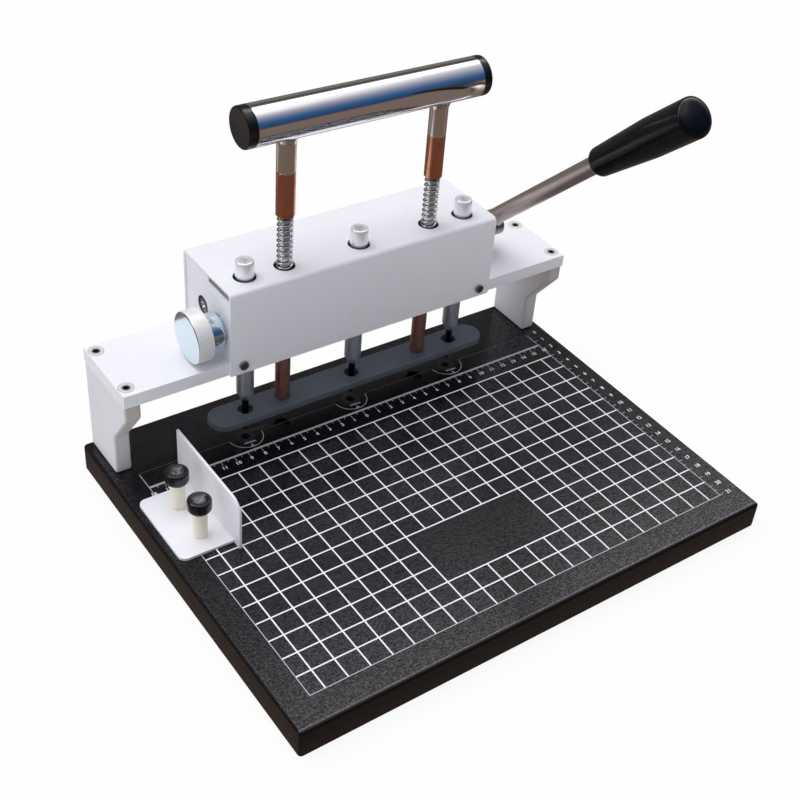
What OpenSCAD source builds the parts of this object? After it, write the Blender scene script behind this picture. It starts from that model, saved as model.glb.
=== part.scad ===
// Three-hole binding machine: a heavy black board with a bridge on two legs, a white
// head on the bridge, three needles driven by one lever through racks and pinions,
// and a sprung press bar that clamps the paper.
// X runs to the right along the needle line, Y to the back, Z up. The origin lies on
// the underside of the board, straight below the middle needle.

/* [Board] */
// Width of the board
base_w = 356; // [352:1:400]
// Depth of the board, front to back
base_d = 275; // [243:1:300]
// Thickness of the board
base_t = 20; // [18:0.5:26]
// Needle line to the back edge of the board
base_back = 45; // [44:0.1:60]
// Radius of the board's upright corners
base_corner_r = 2.5; // [2:0.5:8]

/* [Bridge] */
// Step from the board's side to a leg's outer face
leg_inset = 6; // [4:0.5:20]
// Front edge of the bridge plate, ahead of the needle line
bridge_front = 13.9; // [13:0.1:16]
// Depth of the bridge plate
bridge_d = 57.5; // [56:0.5:57.5]
// Thickness of the bridge plate
bridge_t = 9.1; // [8.5:0.1:12]
// Height of the legs
leg_h = 67.3; // [66:0.1:80]
// Thickness of a leg
leg_t = 11; // [10:0.5:14]
// Front of the leg's foot, behind the needle line
leg_foot_y = 7; // [4:0.5:9]
// Height of the leg's upper block under the bridge plate
leg_block_h = 11.3; // [9:0.1:16]
// Height of the slanted step below that block
leg_step_h = 26; // [18:1:30]

/* [Head] */
// Width of the head cover
head_w = 202.6; // [202:0.1:206]
// Height of the head cover, from its lower edge
cover_h = 60.6; // [60.6:0.1:65]
// How far the cover reaches down over the bridge plate
cover_skirt = 9.7; // [8.6:0.1:10]
// Thickness of the cover sheet
sheet_t = 1.6; // [1.2:0.1:2]
// Thickness of an end plate
end_t = 6; // [5:0.5:6.5]
// Step from the cover's edge in to the end plate
end_inset = 1; // [0.5:0.1:1.5]
// Thickness of the upper guide plate
guide_plate_t = 5; // [4:0.5:5.5]
// Gap between the guide plate and the top of the cover
guide_plate_drop = 0.4; // [0.3:0.1:0.8]
// Half depth of the upper guide plate
guide_plate_half = 13.2; // [12:0.1:13.4]
// Gap behind the guide plate in its notch
notch_gap = 0.8; // [0.2:0.1:1.2]
// Hole in the cover round a needle cap
cap_hole_d = 14.6; // [13.4:0.1:16]
// Hole in the cover round a spring
spring_hole_d = 13.8; // [12.4:0.1:16]

/* [Needles] */
// Distance from one needle to the next
needle_pitch = 83; // [80:0.5:83.5]
// Diameter of a needle
needle_d = 4.5; // [3.5:0.1:5]
// Diameter of a plunger
plunger_d = 12; // [11:0.1:12.2]
// Diameter of a chuck
chuck_d = 11.4; // [9:0.1:11.5]
// Height of the plunger's top above the board
cap_top_h = 139.1; // [138:0.1:142]
// Height of the chuck's lower end above the board
chuck_low_h = 32.8; // [32.6:0.1:34]
// Height of the chuck's shoulder above its lower end
chuck_cone_h = 5.2; // [4:0.1:7]
// Length of the chuck
chuck_len = 27; // [24:0.5:30]
// Height of the needle's tip above the board
needle_tip_h = 5.8; // [5:0.1:8]
// Length of the needle's point
needle_point = 5; // [3:0.5:7]
// Length of a plunger's cap
cap_len = 10.1; // [8:0.1:12]
// Diameter of the pad under a needle
pad_d = 14; // [12:0.5:18]
// Thickness of that pad
pad_t = 6; // [5:0.5:8]
// Hole in the pad
pad_hole_d = 6; // [5.5:0.1:8]
// Depth of that hole
pad_hole_depth = 5; // [4:0.5:5]

/* [Rack drive] */
// Tooth module of the racks and pinions
tooth_m = 1.5; // [1.4:0.05:1.5]
// Teeth on a pinion
pinion_teeth = 24; // [22:1:24]
// Face width of a pinion
pinion_w = 12; // [8:0.5:12]
// Depth from the plunger's back to the rack's pitch line
rack_pitch_depth = 1.8; // [1.7:0.05:2]
// Height of the pinion shaft above the board
shaft_h = 98.5; // [97.5:0.1:98.8]
// Diameter of the pinion shaft
shaft_d = 9; // [7:0.5:9]
// Wall of the shaft's bushes
shaft_bush_wall = 1.75; // [1.4:0.05:2.2]
// Diameter of a pinion's boss
boss_d = 20; // [16:0.5:22]
// Length of that boss
boss_len = 8; // [6:0.5:10]
// Lever travel up from rest, in degrees
lever_up_deg = 50; // [30:1:50]
// Lever travel down from rest, in degrees
lever_down_deg = 27; // [10:1:27]

/* [Lever] */
// Diameter of the lever's hub
hub_d = 15; // [14:0.1:18]
// Boss under the hub, down from the shaft's centre
hub_drop = 3.6; // [2:0.1:5]
// Length of the hub
hub_len = 31; // [28:0.5:36]
// Gap between the head and the hub
hub_gap = 1.7; // [1.2:0.1:3]
// Lever rod, out from the hub's inner end
rod_out = 21; // [19:0.5:22]
// Diameter of the lever rod
lever_rod_d = 12; // [8:0.5:13]
// Tilt of the lever above level at rest, in degrees
lever_tilt = 43.6; // [35:0.1:50]
// Shaft centre to the start of the grip
grip_start = 140; // [110:0.5:160]
// Length of the grip, without its domed end
grip_len = 90.2; // [80:0.1:120]
// Diameter of the grip at its start
grip_d0 = 19.6; // [17:0.1:22]
// Diameter of the grip at its shoulder
grip_d1 = 25; // [22:0.1:27]
// Diameter of the grip at its end
grip_d2 = 25.3; // [23:0.1:29]
// Height of the grip's domed end
grip_dome = 4.6; // [3:0.1:11]
// Droop of the grip against its rod, in degrees
grip_droop = 1.5; // [0:0.1:2]

/* [Press] */
// Distance from one press rod to the other
rod_pitch = 110; // [108:0.5:114]
// Length of the press bar, over its caps
bar_len = 172; // [160:1:190]
// Diameter of the press bar
bar_d = 25.4; // [22:0.1:28]
// Wall of the press bar
bar_wall = 2; // [1.5:0.1:3]
// Visible length of a bar cap
bar_cap_len = 6; // [4:0.5:10]
// Height of the bar's axis above the board
bar_h = 227.3; // [222:0.1:240]
// Diameter of the steel stub below the bar
stub_d = 12; // [10:0.5:13]
// Length of the copper sleeve
sleeve_len = 30.7; // [24:0.1:32]
// Height of the sleeve's lower end above the board
sleeve_low_h = 162.3; // [160:0.1:166]
// Diameter of the copper sleeve
sleeve_d = 12; // [10.5:0.1:13]
// Diameter of the lower press rod
press_rod_d = 10; // [9:0.1:10.4]
// Diameter of the rod inside the spring
stud_d = 7; // [6:0.1:7.2]
// Length of the presser plate
presser_len = 218.6; // [206:0.1:222]
// Width of the presser plate
presser_w = 22; // [20:0.5:24]
// Thickness of the presser plate
presser_t = 5.2; // [4:0.1:5.2]
// Top of the presser plate above the board
presser_top_h = 23.5; // [22.5:0.1:23.9]
// Hole in the presser plate round a needle
presser_hole_d = 10.5; // [8:0.1:11]
// Wire of a spring
wire_d = 1.4; // [1:0.05:1.5]
// Mean diameter of a spring
coil_d = 9; // [8.8:0.1:9.2]
// Rise of a spring's wire in one turn
coil_pitch = 3.8; // [3:0.05:4.2]

/* [Lock knob] */
// Diameter of the knob's disc
knob_d = 34; // [28:0.5:35]
// Thickness of the disc
knob_t = 11.1; // [8:0.1:14]
// Diameter of the knob's hub
knob_hub_d = 24; // [18:0.5:26]
// Length of the knob's hub
knob_hub_len = 9.2; // [6:0.1:12]
// Height of the knob's axis above the board
knob_h = 94.4; // [94.2:0.1:96]
// Diameter of the lock screw
lock_stud_d = 8; // [6:0.5:8]
// Thickness of the ring between hub and head
lock_collar_t = 2.4; // [1.5:0.1:4]

/* [Side guide] */
// Board's left side to the guide's face
guide_edge = 41.8; // [41:0.1:46]
// Height of the guide
guide_h = 36; // [28:0.5:44]
// Sheet of the guide
guide_t = 1.8; // [1.2:0.1:2.5]
// Front end of the guide, ahead of the needle line
guide_front = 92; // [86:0.5:110]
// Back end of the guide, ahead of the needle line
guide_back = 11; // [6:0.5:20]
// Radius of the guide's front top corner
guide_corner_r = 10; // [4:0.5:14]
// Width of the guide's foot
foot_w = 35; // [34:0.5:38]
// Front end of the foot, ahead of the needle line
foot_front = 85; // [83:0.5:90]
// Back end of the foot, ahead of the needle line
foot_back = 25; // [20:0.5:33]
// Radius of the foot's outer corners
foot_corner_r = 5; // [2:0.5:8]
// Thumb screws, out from the guide's face
thumb_out = 16.6; // [16:0.1:20]
// Front thumb screw, ahead of the needle line
thumb_front = 70; // [68:0.5:75]
// Rear thumb screw, ahead of the needle line
thumb_rear = 40.5; // [40:0.5:46]
// Diameter of a thumb screw's stem
stem_d = 9.3; // [8:0.1:11]
// Length of that stem
stem_len = 20; // [16:0.5:28]
// Diameter of a thumb screw's cap
thumb_cap_d = 15; // [12:0.5:18]
// Height of that cap
thumb_cap_h = 9; // [5:0.5:10]
// Guide travel towards the paper
guide_in = 8; // [4:0.5:8]
// Guide travel away from the paper
guide_out = 4; // [2:0.5:4]

/* [Screws and fits] */
// Diameter of the large screws
big_screw_d = 5; // [4:0.5:5]
// Diameter of the small screws
small_screw_d = 3; // [2.5:0.5:3]
// Radial clearance of turning and sliding parts
run_clear = 0.05; // [0.03:0.01:0.08]
// Clearance round fixed parts
seat_clear = 0.04; // [0.02:0.01:0.08]
// Air gap between parts that pass each other
air_gap = 0.2; // [0.1:0.05:0.3]

/* [Hidden] */
$fn = 64;

// Overrun of every cut
cut = 1;
// Sides of a screw recess
hex_sides = 6;

// Places of the repeated parts
needle_xs = [-needle_pitch, 0, needle_pitch];
rod_xs = [-rod_pitch / 2, rod_pitch / 2];
base_mid_y = base_back - base_d / 2;
bridge_w = base_w - 2 * leg_inset;
leg_mid_x = bridge_w / 2 - leg_t / 2;
bridge_low = base_t + leg_h;
bridge_top = bridge_low + bridge_t;
bridge_mid_y = bridge_d / 2 - bridge_front;
bridge_back = bridge_d - bridge_front;

// Head
cover_low = bridge_top - cover_skirt;
cover_top = cover_low + cover_h;
cover_under = cover_top - sheet_t;
guide_plate_top = cover_under - guide_plate_drop;
guide_plate_low = guide_plate_top - guide_plate_t;
end_outer_x = head_w / 2 - end_inset;
end_inner_x = end_outer_x - end_t;
// The guide plate ends short of the end plate's outer face
tab_inset = 0.6;

// Screws
big_head_d = 2 * big_screw_d;
big_head_h = 0.55 * big_screw_d;
leg_screw_len = base_t + 3 * big_screw_d;
leg_screw_ys = [leg_foot_y + 8 * leg_t / 11, bridge_back - 8 * leg_t / 11];
bridge_screw_len = bridge_t + 2.4 * big_screw_d;
bridge_screw_ys = [bridge_front * -0.4, bridge_back - 0.6 * leg_t];
end_screw_d = 0.8 * big_screw_d;
end_screw_len = bridge_t + 2.4 * end_screw_d;
end_screw_ys = [-bridge_front / 2, bridge_back - bridge_front / 2];
cover_screw_x = 92.6 / 202.6 * head_w;
cover_screw_len = 3.4 * small_screw_d;
cover_head_h = 0.6 * small_screw_d;
cover_screw_z = bridge_top - cover_skirt / 3;

// Rack drive
rack_pitch = PI * tooth_m;
pitch_r = tooth_m * pinion_teeth / 2;
plunger_r = plunger_d / 2;
rack_pitch_y = plunger_r - rack_pitch_depth;
shaft_y = rack_pitch_y + pitch_r;
shaft_z = base_t + shaft_h;
// Tooth height above and below the pitch line, and tooth thickness, in modules
addendum_share = 0.87;
dedendum_share = 1.08;
thickness_share = 0.36;
flank_deg = 20;
addendum = addendum_share * tooth_m;
dedendum = dedendum_share * tooth_m;
tooth_half = thickness_share * rack_pitch / 2;
flank = tan(flank_deg);
tip_r = pitch_r + addendum;
root_r = pitch_r - dedendum;
rise_up = pitch_r * lever_up_deg * PI / 180;
rise_down = pitch_r * lever_down_deg * PI / 180;
rack_reach = sqrt(tip_r * tip_r - (pitch_r - addendum) * (pitch_r - addendum));
grooves_below = ceil((rise_up + rack_reach) / rack_pitch + 0.5);
grooves_above = ceil((rise_down + rack_reach) / rack_pitch - 0.5);
shaft_left = -end_outer_x + air_gap;
hub_x0 = head_w / 2 + hub_gap;
shaft_in_hub = rod_out - lever_rod_d / 2 - 2.5 * air_gap;
shaft_right = hub_x0 + shaft_in_hub;
shaft_collar_w = 4 * pinion_w / 12;
bush_flange_t = 1.5;
bush_flange = 1.6;
grub_d = 4 * shaft_d / 9;

// Needles
cap_top = base_t + cap_top_h;
cap_low = cap_top - cap_len;
chuck_low = base_t + chuck_low_h;
chuck_top = chuck_low + chuck_len;
chuck_tip_d = 6.4 / 11.4 * chuck_d;
needle_tip = base_t + needle_tip_h;
needle_top = chuck_low + 14 / 27 * chuck_len;
spigot_d = plunger_d / 2;
spigot_low = needle_top + chuck_cone_h / 2;
needle_bush_d = plunger_d + 2 * run_clear + 4;
bush_wall = 2;

// Press
presser_top = base_t + presser_top_h;
presser_low = presser_top - presser_t;
sleeve_low = base_t + sleeve_low_h;
sleeve_top = sleeve_low + sleeve_len;
bar_z = base_t + bar_h;
stud_top = sleeve_top - sleeve_d / 2;
rod_bush_d = press_rod_d + 2 * run_clear + 2 * bush_wall;
coil_len = sleeve_low - guide_plate_top;
// The wire's ends stand square on their seats, then bend into the coil
wire_end = wire_d;
wire_bend = wire_d;
coil_slope = atan(coil_pitch / (PI * coil_d));
coil_rings = 8;
coil_sides = 6;

// Lock knob
knob_y = 0;
knob_z = base_t + knob_h;
knob_hub_right = -head_w / 2 - lock_collar_t + end_inset - air_gap;
knob_hub_left = knob_hub_right - knob_hub_len;
knob_left = knob_hub_left - knob_t;
stud_tip_x = -needle_pitch - plunger_r - 2 * air_gap;

// Side guide
guide_x = guide_edge - base_w / 2;
guide_low = base_t + air_gap / 2;
foot_x0 = guide_x - guide_t - foot_w;
thumb_x = guide_x - thumb_out;
stem_low = guide_low + guide_t;
cap_seat = stem_low + stem_len;
slot_w = big_screw_d + 4 * air_gap;
nut_w = 2 * big_screw_d;
nut_t = big_screw_d;
nut_top = 0.45 * base_t;
bolt_low = nut_top - nut_t;

// A block with round upright corners, standing on z = 0
module round_block(w, d, h, r) {
    translate([-w / 2 + r, -d / 2, 0]) cube([w - 2 * r, d, h]);
    translate([-w / 2, -d / 2 + r, 0]) cube([w, d - 2 * r, h]);
    for (x = [-w / 2 + r, w / 2 - r]) for (y = [-d / 2 + r, d / 2 - r])
        translate([x, y, 0]) cylinder(r = r, h = h);
}

// A rod along X from x0 to x1
module x_rod(x0, x1, d) {
    translate([x0, 0, 0]) rotate([0, 90, 0]) cylinder(d = d, h = x1 - x0);
}

// A countersunk screw whose head's face lies at z = 0, with its shank going down
module sunk_screw(d, head_d, head_h, len) {
    difference() {
        union() {
            translate([0, 0, -len]) cylinder(d = d, h = len);
            translate([0, 0, -head_h]) cylinder(d1 = d, d2 = head_d, h = head_h);
        }
        translate([0, 0, -head_h * 0.7]) cylinder(d = head_d * 0.45, h = head_h, $fn = hex_sides);
    }
}

// The hole that such a screw sits in
module sunk_hole(d, head_d, head_h, len) {
    translate([0, 0, -len - cut]) cylinder(d = d + 2 * seat_clear, h = len + 2 * cut);
    translate([0, 0, -head_h - seat_clear])
        cylinder(d1 = d + 2 * seat_clear, d2 = head_d + 2 * seat_clear, h = head_h + seat_clear);
    cylinder(d = head_d + 2 * seat_clear, h = cut);
}

// Board
module base_board() color("#1a1a1c") difference() {
    translate([0, base_mid_y, 0]) round_block(base_w, base_d, base_t, base_corner_r);
    for (x = needle_xs) translate([x, 0, base_t - pad_t])
        cylinder(d = pad_d + 2 * seat_clear, h = pad_t + cut);
    for (x = rod_xs) translate([x, 0, base_t - big_head_h])
        cylinder(d = big_head_d + cut, h = big_head_h + cut);
    for (s = [-1, 1]) for (y = leg_screw_ys) translate([s * leg_mid_x, y, 0]) mirror([0, 0, 1])
        sunk_hole(big_screw_d, big_head_d, big_head_h, base_t);
    for (y = [thumb_front, thumb_rear]) guide_slot(y);
}

// A slot for one thumb screw, with a wider channel for its nut below
module guide_slot(y) {
    x0 = thumb_x - guide_out;
    x1 = thumb_x + guide_in;
    translate([x0, -y - slot_w / 2, -cut]) cube([x1 - x0, slot_w, base_t + 2 * cut]);
    for (x = [x0, x1]) translate([x, -y, -cut]) cylinder(d = slot_w, h = base_t + 2 * cut);
    translate([x0 - nut_w / 2 - 2 * air_gap, -y - nut_w / 2 - air_gap, -cut])
        cube([x1 - x0 + nut_w + 4 * air_gap, nut_w + 2 * air_gap, nut_top + cut]);
}

module needle_pads() color("#232327") for (x = needle_xs) translate([x, 0, base_t - pad_t])
    difference() {
        cylinder(d = pad_d, h = pad_t);
        translate([0, 0, pad_t - pad_hole_depth]) cylinder(d = pad_hole_d, h = pad_hole_depth + cut);
    }

// Legs: a flat bar whose upper block reaches forward under the bridge plate
module leg(side) {
    block_low = leg_h - leg_block_h;
    step_low = block_low - leg_step_h;
    front = -bridge_front + sheet_t / 2;
    back = bridge_back;
    difference() {
        translate([side * leg_mid_x - leg_t / 2, 0, base_t]) rotate([90, 0, 90])
            linear_extrude(leg_t) polygon([[leg_foot_y, 0], [back, 0], [back, leg_h],
                [front, leg_h], [front, block_low], [leg_foot_y, step_low]]);
        for (y = leg_screw_ys) translate([side * leg_mid_x, y, base_t - cut])
            cylinder(d = big_screw_d + 2 * seat_clear, h = leg_screw_len - base_t + 2 * cut);
        for (y = bridge_screw_ys) translate([side * leg_mid_x, y, bridge_top - bridge_screw_len - cut])
            cylinder(d = big_screw_d + 2 * seat_clear, h = bridge_screw_len);
    }
}
module left_leg() color("#e4e4ea") leg(-1);
module right_leg() color("#e4e4ea") leg(1);

module leg_screws() color("#8c8c90") for (s = [-1, 1]) for (y = leg_screw_ys)
    translate([s * leg_mid_x, y, 0]) mirror([0, 0, 1])
        sunk_screw(big_screw_d, big_head_d, big_head_h, leg_screw_len);

// Bridge plate
module bridge_plate() color("#ececf1") difference() {
    translate([-bridge_w / 2, -bridge_front, bridge_low]) cube([bridge_w, bridge_d, bridge_t]);
    for (s = [-1, 1]) for (y = bridge_screw_ys) translate([s * leg_mid_x, y, bridge_top])
        sunk_hole(big_screw_d, big_head_d, big_head_h, bridge_t);
    for (s = [-1, 1]) for (y = end_screw_ys) translate([s * (end_inner_x + end_t / 2), y, bridge_low])
        mirror([0, 0, 1]) sunk_hole(end_screw_d, 2 * end_screw_d, 0.55 * end_screw_d, bridge_t);
    for (x = needle_xs) translate([x, 0, bridge_low - cut])
        cylinder(d = needle_bush_d + 2 * seat_clear, h = bridge_t + 2 * cut);
    for (x = rod_xs) translate([x, 0, bridge_low - cut])
        cylinder(d = rod_bush_d + 2 * seat_clear, h = bridge_t + 2 * cut);
    for (s = [-1, 1]) for (f = [0, 1]) cover_screw_hole(s, f);
}

// The tapped hole for one cover screw, in the front edge or the back edge
module cover_screw_hole(side, f) {
    depth = cover_screw_len - sheet_t;
    y = f == 0 ? -bridge_front - cut : bridge_back - depth;
    translate([side * cover_screw_x, y, cover_screw_z]) rotate([-90, 0, 0])
        cylinder(d = small_screw_d + 2 * seat_clear, h = depth + cut);
}

module bridge_screws() color("#9a9494") for (s = [-1, 1]) for (y = bridge_screw_ys)
    translate([s * leg_mid_x, y, bridge_top])
        sunk_screw(big_screw_d, big_head_d, big_head_h, bridge_screw_len);

// Head cover: an upside-down channel over the bridge plate
module head_cover() color("#eeeef3") difference() {
    translate([-head_w / 2, -bridge_front - sheet_t, cover_low])
        cube([head_w, bridge_d + 2 * sheet_t, cover_h]);
    translate([-head_w / 2 - cut, -bridge_front, cover_low - cut])
        cube([head_w + 2 * cut, bridge_d, cover_h - sheet_t + cut]);
    for (x = needle_xs) translate([x, 0, cover_under - cut])
        cylinder(d = cap_hole_d, h = sheet_t + 2 * cut);
    for (x = rod_xs) translate([x, 0, cover_under - cut])
        cylinder(d = spring_hole_d, h = sheet_t + 2 * cut);
    for (s = [-1, 1]) translate([s * cover_screw_x, -bridge_front - sheet_t - cut, cover_screw_z])
        rotate([-90, 0, 0])
            cylinder(d = small_screw_d + 2 * seat_clear, h = bridge_d + 2 * sheet_t + 2 * cut);
}

module cover_screws() color("#5a5a5e") for (s = [-1, 1]) for (f = [0, 1])
    translate([s * cover_screw_x, f == 0 ? -bridge_front - sheet_t : bridge_back + sheet_t, cover_screw_z])
        rotate([f == 0 ? 90 : -90, 0, 0]) difference() {
            union() {
                cylinder(d = 2 * small_screw_d, h = cover_head_h);
                mirror([0, 0, 1]) cylinder(d = small_screw_d, h = cover_screw_len);
            }
            translate([0, 0, cover_head_h / 2])
                cylinder(d = small_screw_d, h = cover_head_h, $fn = hex_sides);
        }

// End plates: they carry the shaft and the upper guide plate
module end_plate(side, hole_d) {
    low = bridge_top;
    high = cover_under;
    x0 = side > 0 ? end_inner_x : -end_outer_x;
    difference() {
        translate([x0, -bridge_front, low]) cube([end_t, bridge_d, high - low]);
        translate([x0 - cut, -guide_plate_half - seat_clear, guide_plate_low])
            cube([end_t + 2 * cut, 2 * guide_plate_half + seat_clear + notch_gap,
                high - guide_plate_low + cut]);
        translate([x0 - cut, shaft_y, shaft_z]) x_rod(0, end_t + 2 * cut, hole_d);
        for (y = end_screw_ys) translate([x0 + end_t / 2, y, low - cut])
            cylinder(d = end_screw_d + 2 * seat_clear, h = end_screw_len - bridge_t + 2 * cut);
    }
}
shaft_bush_d = shaft_d + 2 * run_clear + 2 * shaft_bush_wall;
module left_end_plate() color("#e6e6ec") difference() {
    end_plate(-1, shaft_bush_d + 2 * seat_clear);
    translate([-end_outer_x - cut, knob_y, knob_z])
        x_rod(0, end_t + 2 * cut, lock_stud_d + 2 * run_clear);
}
module right_end_plate() color("#e6e6ec") end_plate(1, shaft_bush_d + 2 * seat_clear);

module end_plate_screws() color("#8c8c90") for (s = [-1, 1]) for (y = end_screw_ys)
    translate([s * (end_inner_x + end_t / 2), y, bridge_low]) mirror([0, 0, 1])
        sunk_screw(end_screw_d, 2 * end_screw_d, 0.55 * end_screw_d, end_screw_len);

// Upper guide plate, lying in the notches of the end plates
module upper_guide_plate() color("#b9bbc0") difference() {
    translate([-end_outer_x + tab_inset, -guide_plate_half, guide_plate_low])
        cube([2 * (end_outer_x - tab_inset), 2 * guide_plate_half, guide_plate_t]);
    for (x = needle_xs) translate([x, 0, guide_plate_low - cut])
        cylinder(d = needle_bush_d + 2 * seat_clear, h = guide_plate_t + 2 * cut);
    for (x = rod_xs) translate([x, 0, guide_plate_low - cut])
        cylinder(d = stud_d + 4 * run_clear, h = guide_plate_t + 2 * cut);
}

// A flanged bush along Z, its flange at the far end
module flanged_bush(d, bore, len) {
    difference() {
        union() {
            cylinder(d = d, h = len);
            translate([0, 0, len]) cylinder(d = d + 2 * bush_flange, h = bush_flange_t);
        }
        translate([0, 0, -cut]) cylinder(d = bore, h = len + bush_flange_t + 2 * cut);
    }
}
module needle_bushes() color("#b98b4a") for (x = needle_xs) {
    translate([x, 0, bridge_low])
        flanged_bush(needle_bush_d, plunger_d + 2 * run_clear, bridge_t);
    translate([x, 0, guide_plate_top]) mirror([0, 0, 1])
        flanged_bush(needle_bush_d, plunger_d + 2 * run_clear, guide_plate_t);
}
module rod_bushes() color("#b98b4a") for (x = rod_xs) translate([x, 0, bridge_low])
    flanged_bush(rod_bush_d, press_rod_d + 2 * run_clear, bridge_t);
module shaft_bushes() color("#8a6246") for (s = [-1, 1])
    translate([s > 0 ? end_inner_x : -end_outer_x, shaft_y, shaft_z]) difference() {
        x_rod(0, end_t, shaft_bush_d);
        x_rod(-cut, end_t + cut, shaft_d + 2 * run_clear);
    }

module lock_collar() color("#3a3a40") translate([0, knob_y, knob_z]) difference() {
    x_rod(-end_outer_x - lock_collar_t, -end_outer_x, 0.8 * knob_hub_d);
    x_rod(-end_outer_x - lock_collar_t - cut, -end_outer_x + cut, lock_stud_d + 2 * run_clear);
}

// Pinion shaft, pinions and their grub screws
module pinion_shaft() color("#b8babd") translate([0, shaft_y, shaft_z]) difference() {
    x_rod(shaft_left, shaft_right, shaft_d);
    translate([shaft_left, 0, 0]) rotate([0, 90, 0]) {
        cylinder(d1 = 0.55 * shaft_d, d2 = 0.25 * shaft_d, h = 0.2 * shaft_d);
        cylinder(d = 0.25 * shaft_d, h = 0.4 * shaft_d);
    }
}

// One tooth's corners, counted from the tooth's own middle line
function tooth(a) = [for (p = [[root_r, -1], [tip_r, -1], [tip_r, 1], [root_r, 1]])
    let (half = tooth_half - (p[0] - pitch_r) * flank, t = a + p[1] * half / p[0] * 180 / PI)
    [p[0] * cos(t), p[0] * sin(t)]];
step_deg = 360 / pinion_teeth;
pinion_points = [for (i = [0 : pinion_teeth - 1]) each tooth((i + 0.5) * step_deg)];

// Bosses face the middle of the head on the right pinion, and the right on the others
function boss_side(x) = x > 0 ? -1 : 1;
module pinions() color("#9a9ca0") for (x = needle_xs) translate([x, shaft_y, shaft_z]) difference() {
    union() {
        rotate([90, 0, 90]) translate([0, 0, -pinion_w / 2]) linear_extrude(pinion_w)
            polygon(pinion_points);
        x_rod(min(0, boss_side(x) * (pinion_w / 2 + boss_len)),
            max(0, boss_side(x) * (pinion_w / 2 + boss_len)), boss_d);
    }
    x_rod(-pinion_w - boss_len, pinion_w + boss_len, shaft_d + 2 * seat_clear);
    translate([boss_side(x) * (pinion_w + boss_len) / 2, 0, 0])
        cylinder(d = grub_d + 2 * seat_clear, h = boss_d);
}
module pinion_grub_screws() color("#2b2b2e") for (x = needle_xs)
    translate([x + boss_side(x) * (pinion_w + boss_len) / 2, shaft_y, shaft_z + shaft_d / 2 + seat_clear])
        grub_screw(0.8 * (boss_d - shaft_d) / 2);
module grub_screw(len) difference() {
    cylinder(d = grub_d, h = len);
    translate([0, 0, len / 2]) cylinder(d = grub_d / 2, h = len, $fn = hex_sides);
}
module shaft_collar() color("#9a9ca0") translate([0, shaft_y, shaft_z]) difference() {
    x_rod(-end_inner_x + air_gap, -end_inner_x + air_gap + shaft_collar_w, 2 * shaft_d);
    x_rod(-end_outer_x, 0, shaft_d + 2 * seat_clear);
}

// Lever: hub on the shaft's right end, a radial rod and its grip
module along_lever() translate([hub_x0 + rod_out, shaft_y, shaft_z])
    rotate([90 - lever_tilt, 0, 0]) children();
rod_seat = hub_d / 6;
module under_lever() translate([0, shaft_y, shaft_z]) rotate([180 - lever_tilt, 0, 0]) children();
module lever_hub() color("#a9a6a2") difference() {
    under_lever() {
        x_rod(hub_x0, hub_x0 + hub_len, hub_d);
        translate([0, 0, hub_drop]) x_rod(hub_x0, hub_x0 + hub_len, hub_d);
        translate([hub_x0, -hub_d / 2, 0]) cube([hub_len, hub_d, hub_drop]);
    }
    translate([0, shaft_y, shaft_z]) x_rod(hub_x0 - cut, shaft_right + air_gap, shaft_d + 2 * seat_clear);
    along_lever() translate([0, 0, -rod_seat]) cylinder(d = lever_rod_d + 2 * seat_clear, h = hub_d);
    under_lever() translate([hub_x0 + shaft_in_hub / 2, 0, 0])
        cylinder(d = grub_d + 2 * seat_clear, h = hub_d);
}
module hub_grub_screw() color("#2b2b2e")
    under_lever() translate([hub_x0 + shaft_in_hub / 2, 0, shaft_d / 2 + seat_clear])
        grub_screw(0.8 * (hub_drop + (hub_d - shaft_d) / 2));
module lever_rod() color("#a39c96") along_lever() translate([0, 0, -rod_seat + seat_clear])
    cylinder(d = lever_rod_d, h = grip_start + rod_seat + 0.4 * grip_len);
module lever_grip() color("#141416") along_lever() translate([0, 0, grip_start]) difference() {
    rotate([grip_droop, 0, 0]) rotate_extrude() grip_outline();
    translate([0, 0, -cut]) cylinder(d = lever_rod_d + 2 * seat_clear, h = 0.4 * grip_len + cut + air_gap);
}
// Half of the grip's section: a rounded start, a taper, a slimmer taper and a dome
grip_round_share = 0.22;
grip_mid_share = 0.578;
module grip_outline() {
    r0 = grip_d0 / 2;
    r2 = grip_d2 / 2;
    edge = grip_round_share * r0;
    dome = [for (a = [90 : -15 : 0]) [r2 * sin(a), grip_len + grip_dome * cos(a)]];
    start = [for (a = [-90 : 30 : 0]) [r0 - edge + edge * cos(a), edge + edge * sin(a)]];
    polygon(concat([[0, 0]], start, [[grip_d1 / 2, grip_mid_share * grip_len]], dome));
}

// Needles: plunger with its rack, cap, chuck and needle
groove_outline = [for (p = [[-dedendum, -1], [addendum + cut, -1], [addendum + cut, 1], [-dedendum, 1]])
    let (half = rack_pitch / 2 - tooth_half + p[0] * flank) [p[0], p[1] * half]];
module plunger(x) translate([x, 0, 0]) difference() {
    union() {
        translate([0, 0, chuck_top]) cylinder(d = plunger_d, h = cap_low - chuck_top);
        translate([0, 0, spigot_low]) cylinder(d = spigot_d, h = chuck_top - spigot_low);
    }
    translate([-plunger_d / 2, rack_pitch_y + addendum, shaft_z - grooves_below * rack_pitch])
        cube([plunger_d, plunger_d, (grooves_above + grooves_below) * rack_pitch]);
    for (k = [-grooves_below : grooves_above - 1])
        translate([-plunger_d / 2, rack_pitch_y, shaft_z + (k + 0.5) * rack_pitch])
            rotate([90, 0, 90]) linear_extrude(plunger_d) polygon(groove_outline);
    translate([0, 0, cap_low - cap_len / 2]) cylinder(d = spigot_d + 2 * seat_clear, h = cap_len);
}
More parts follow.
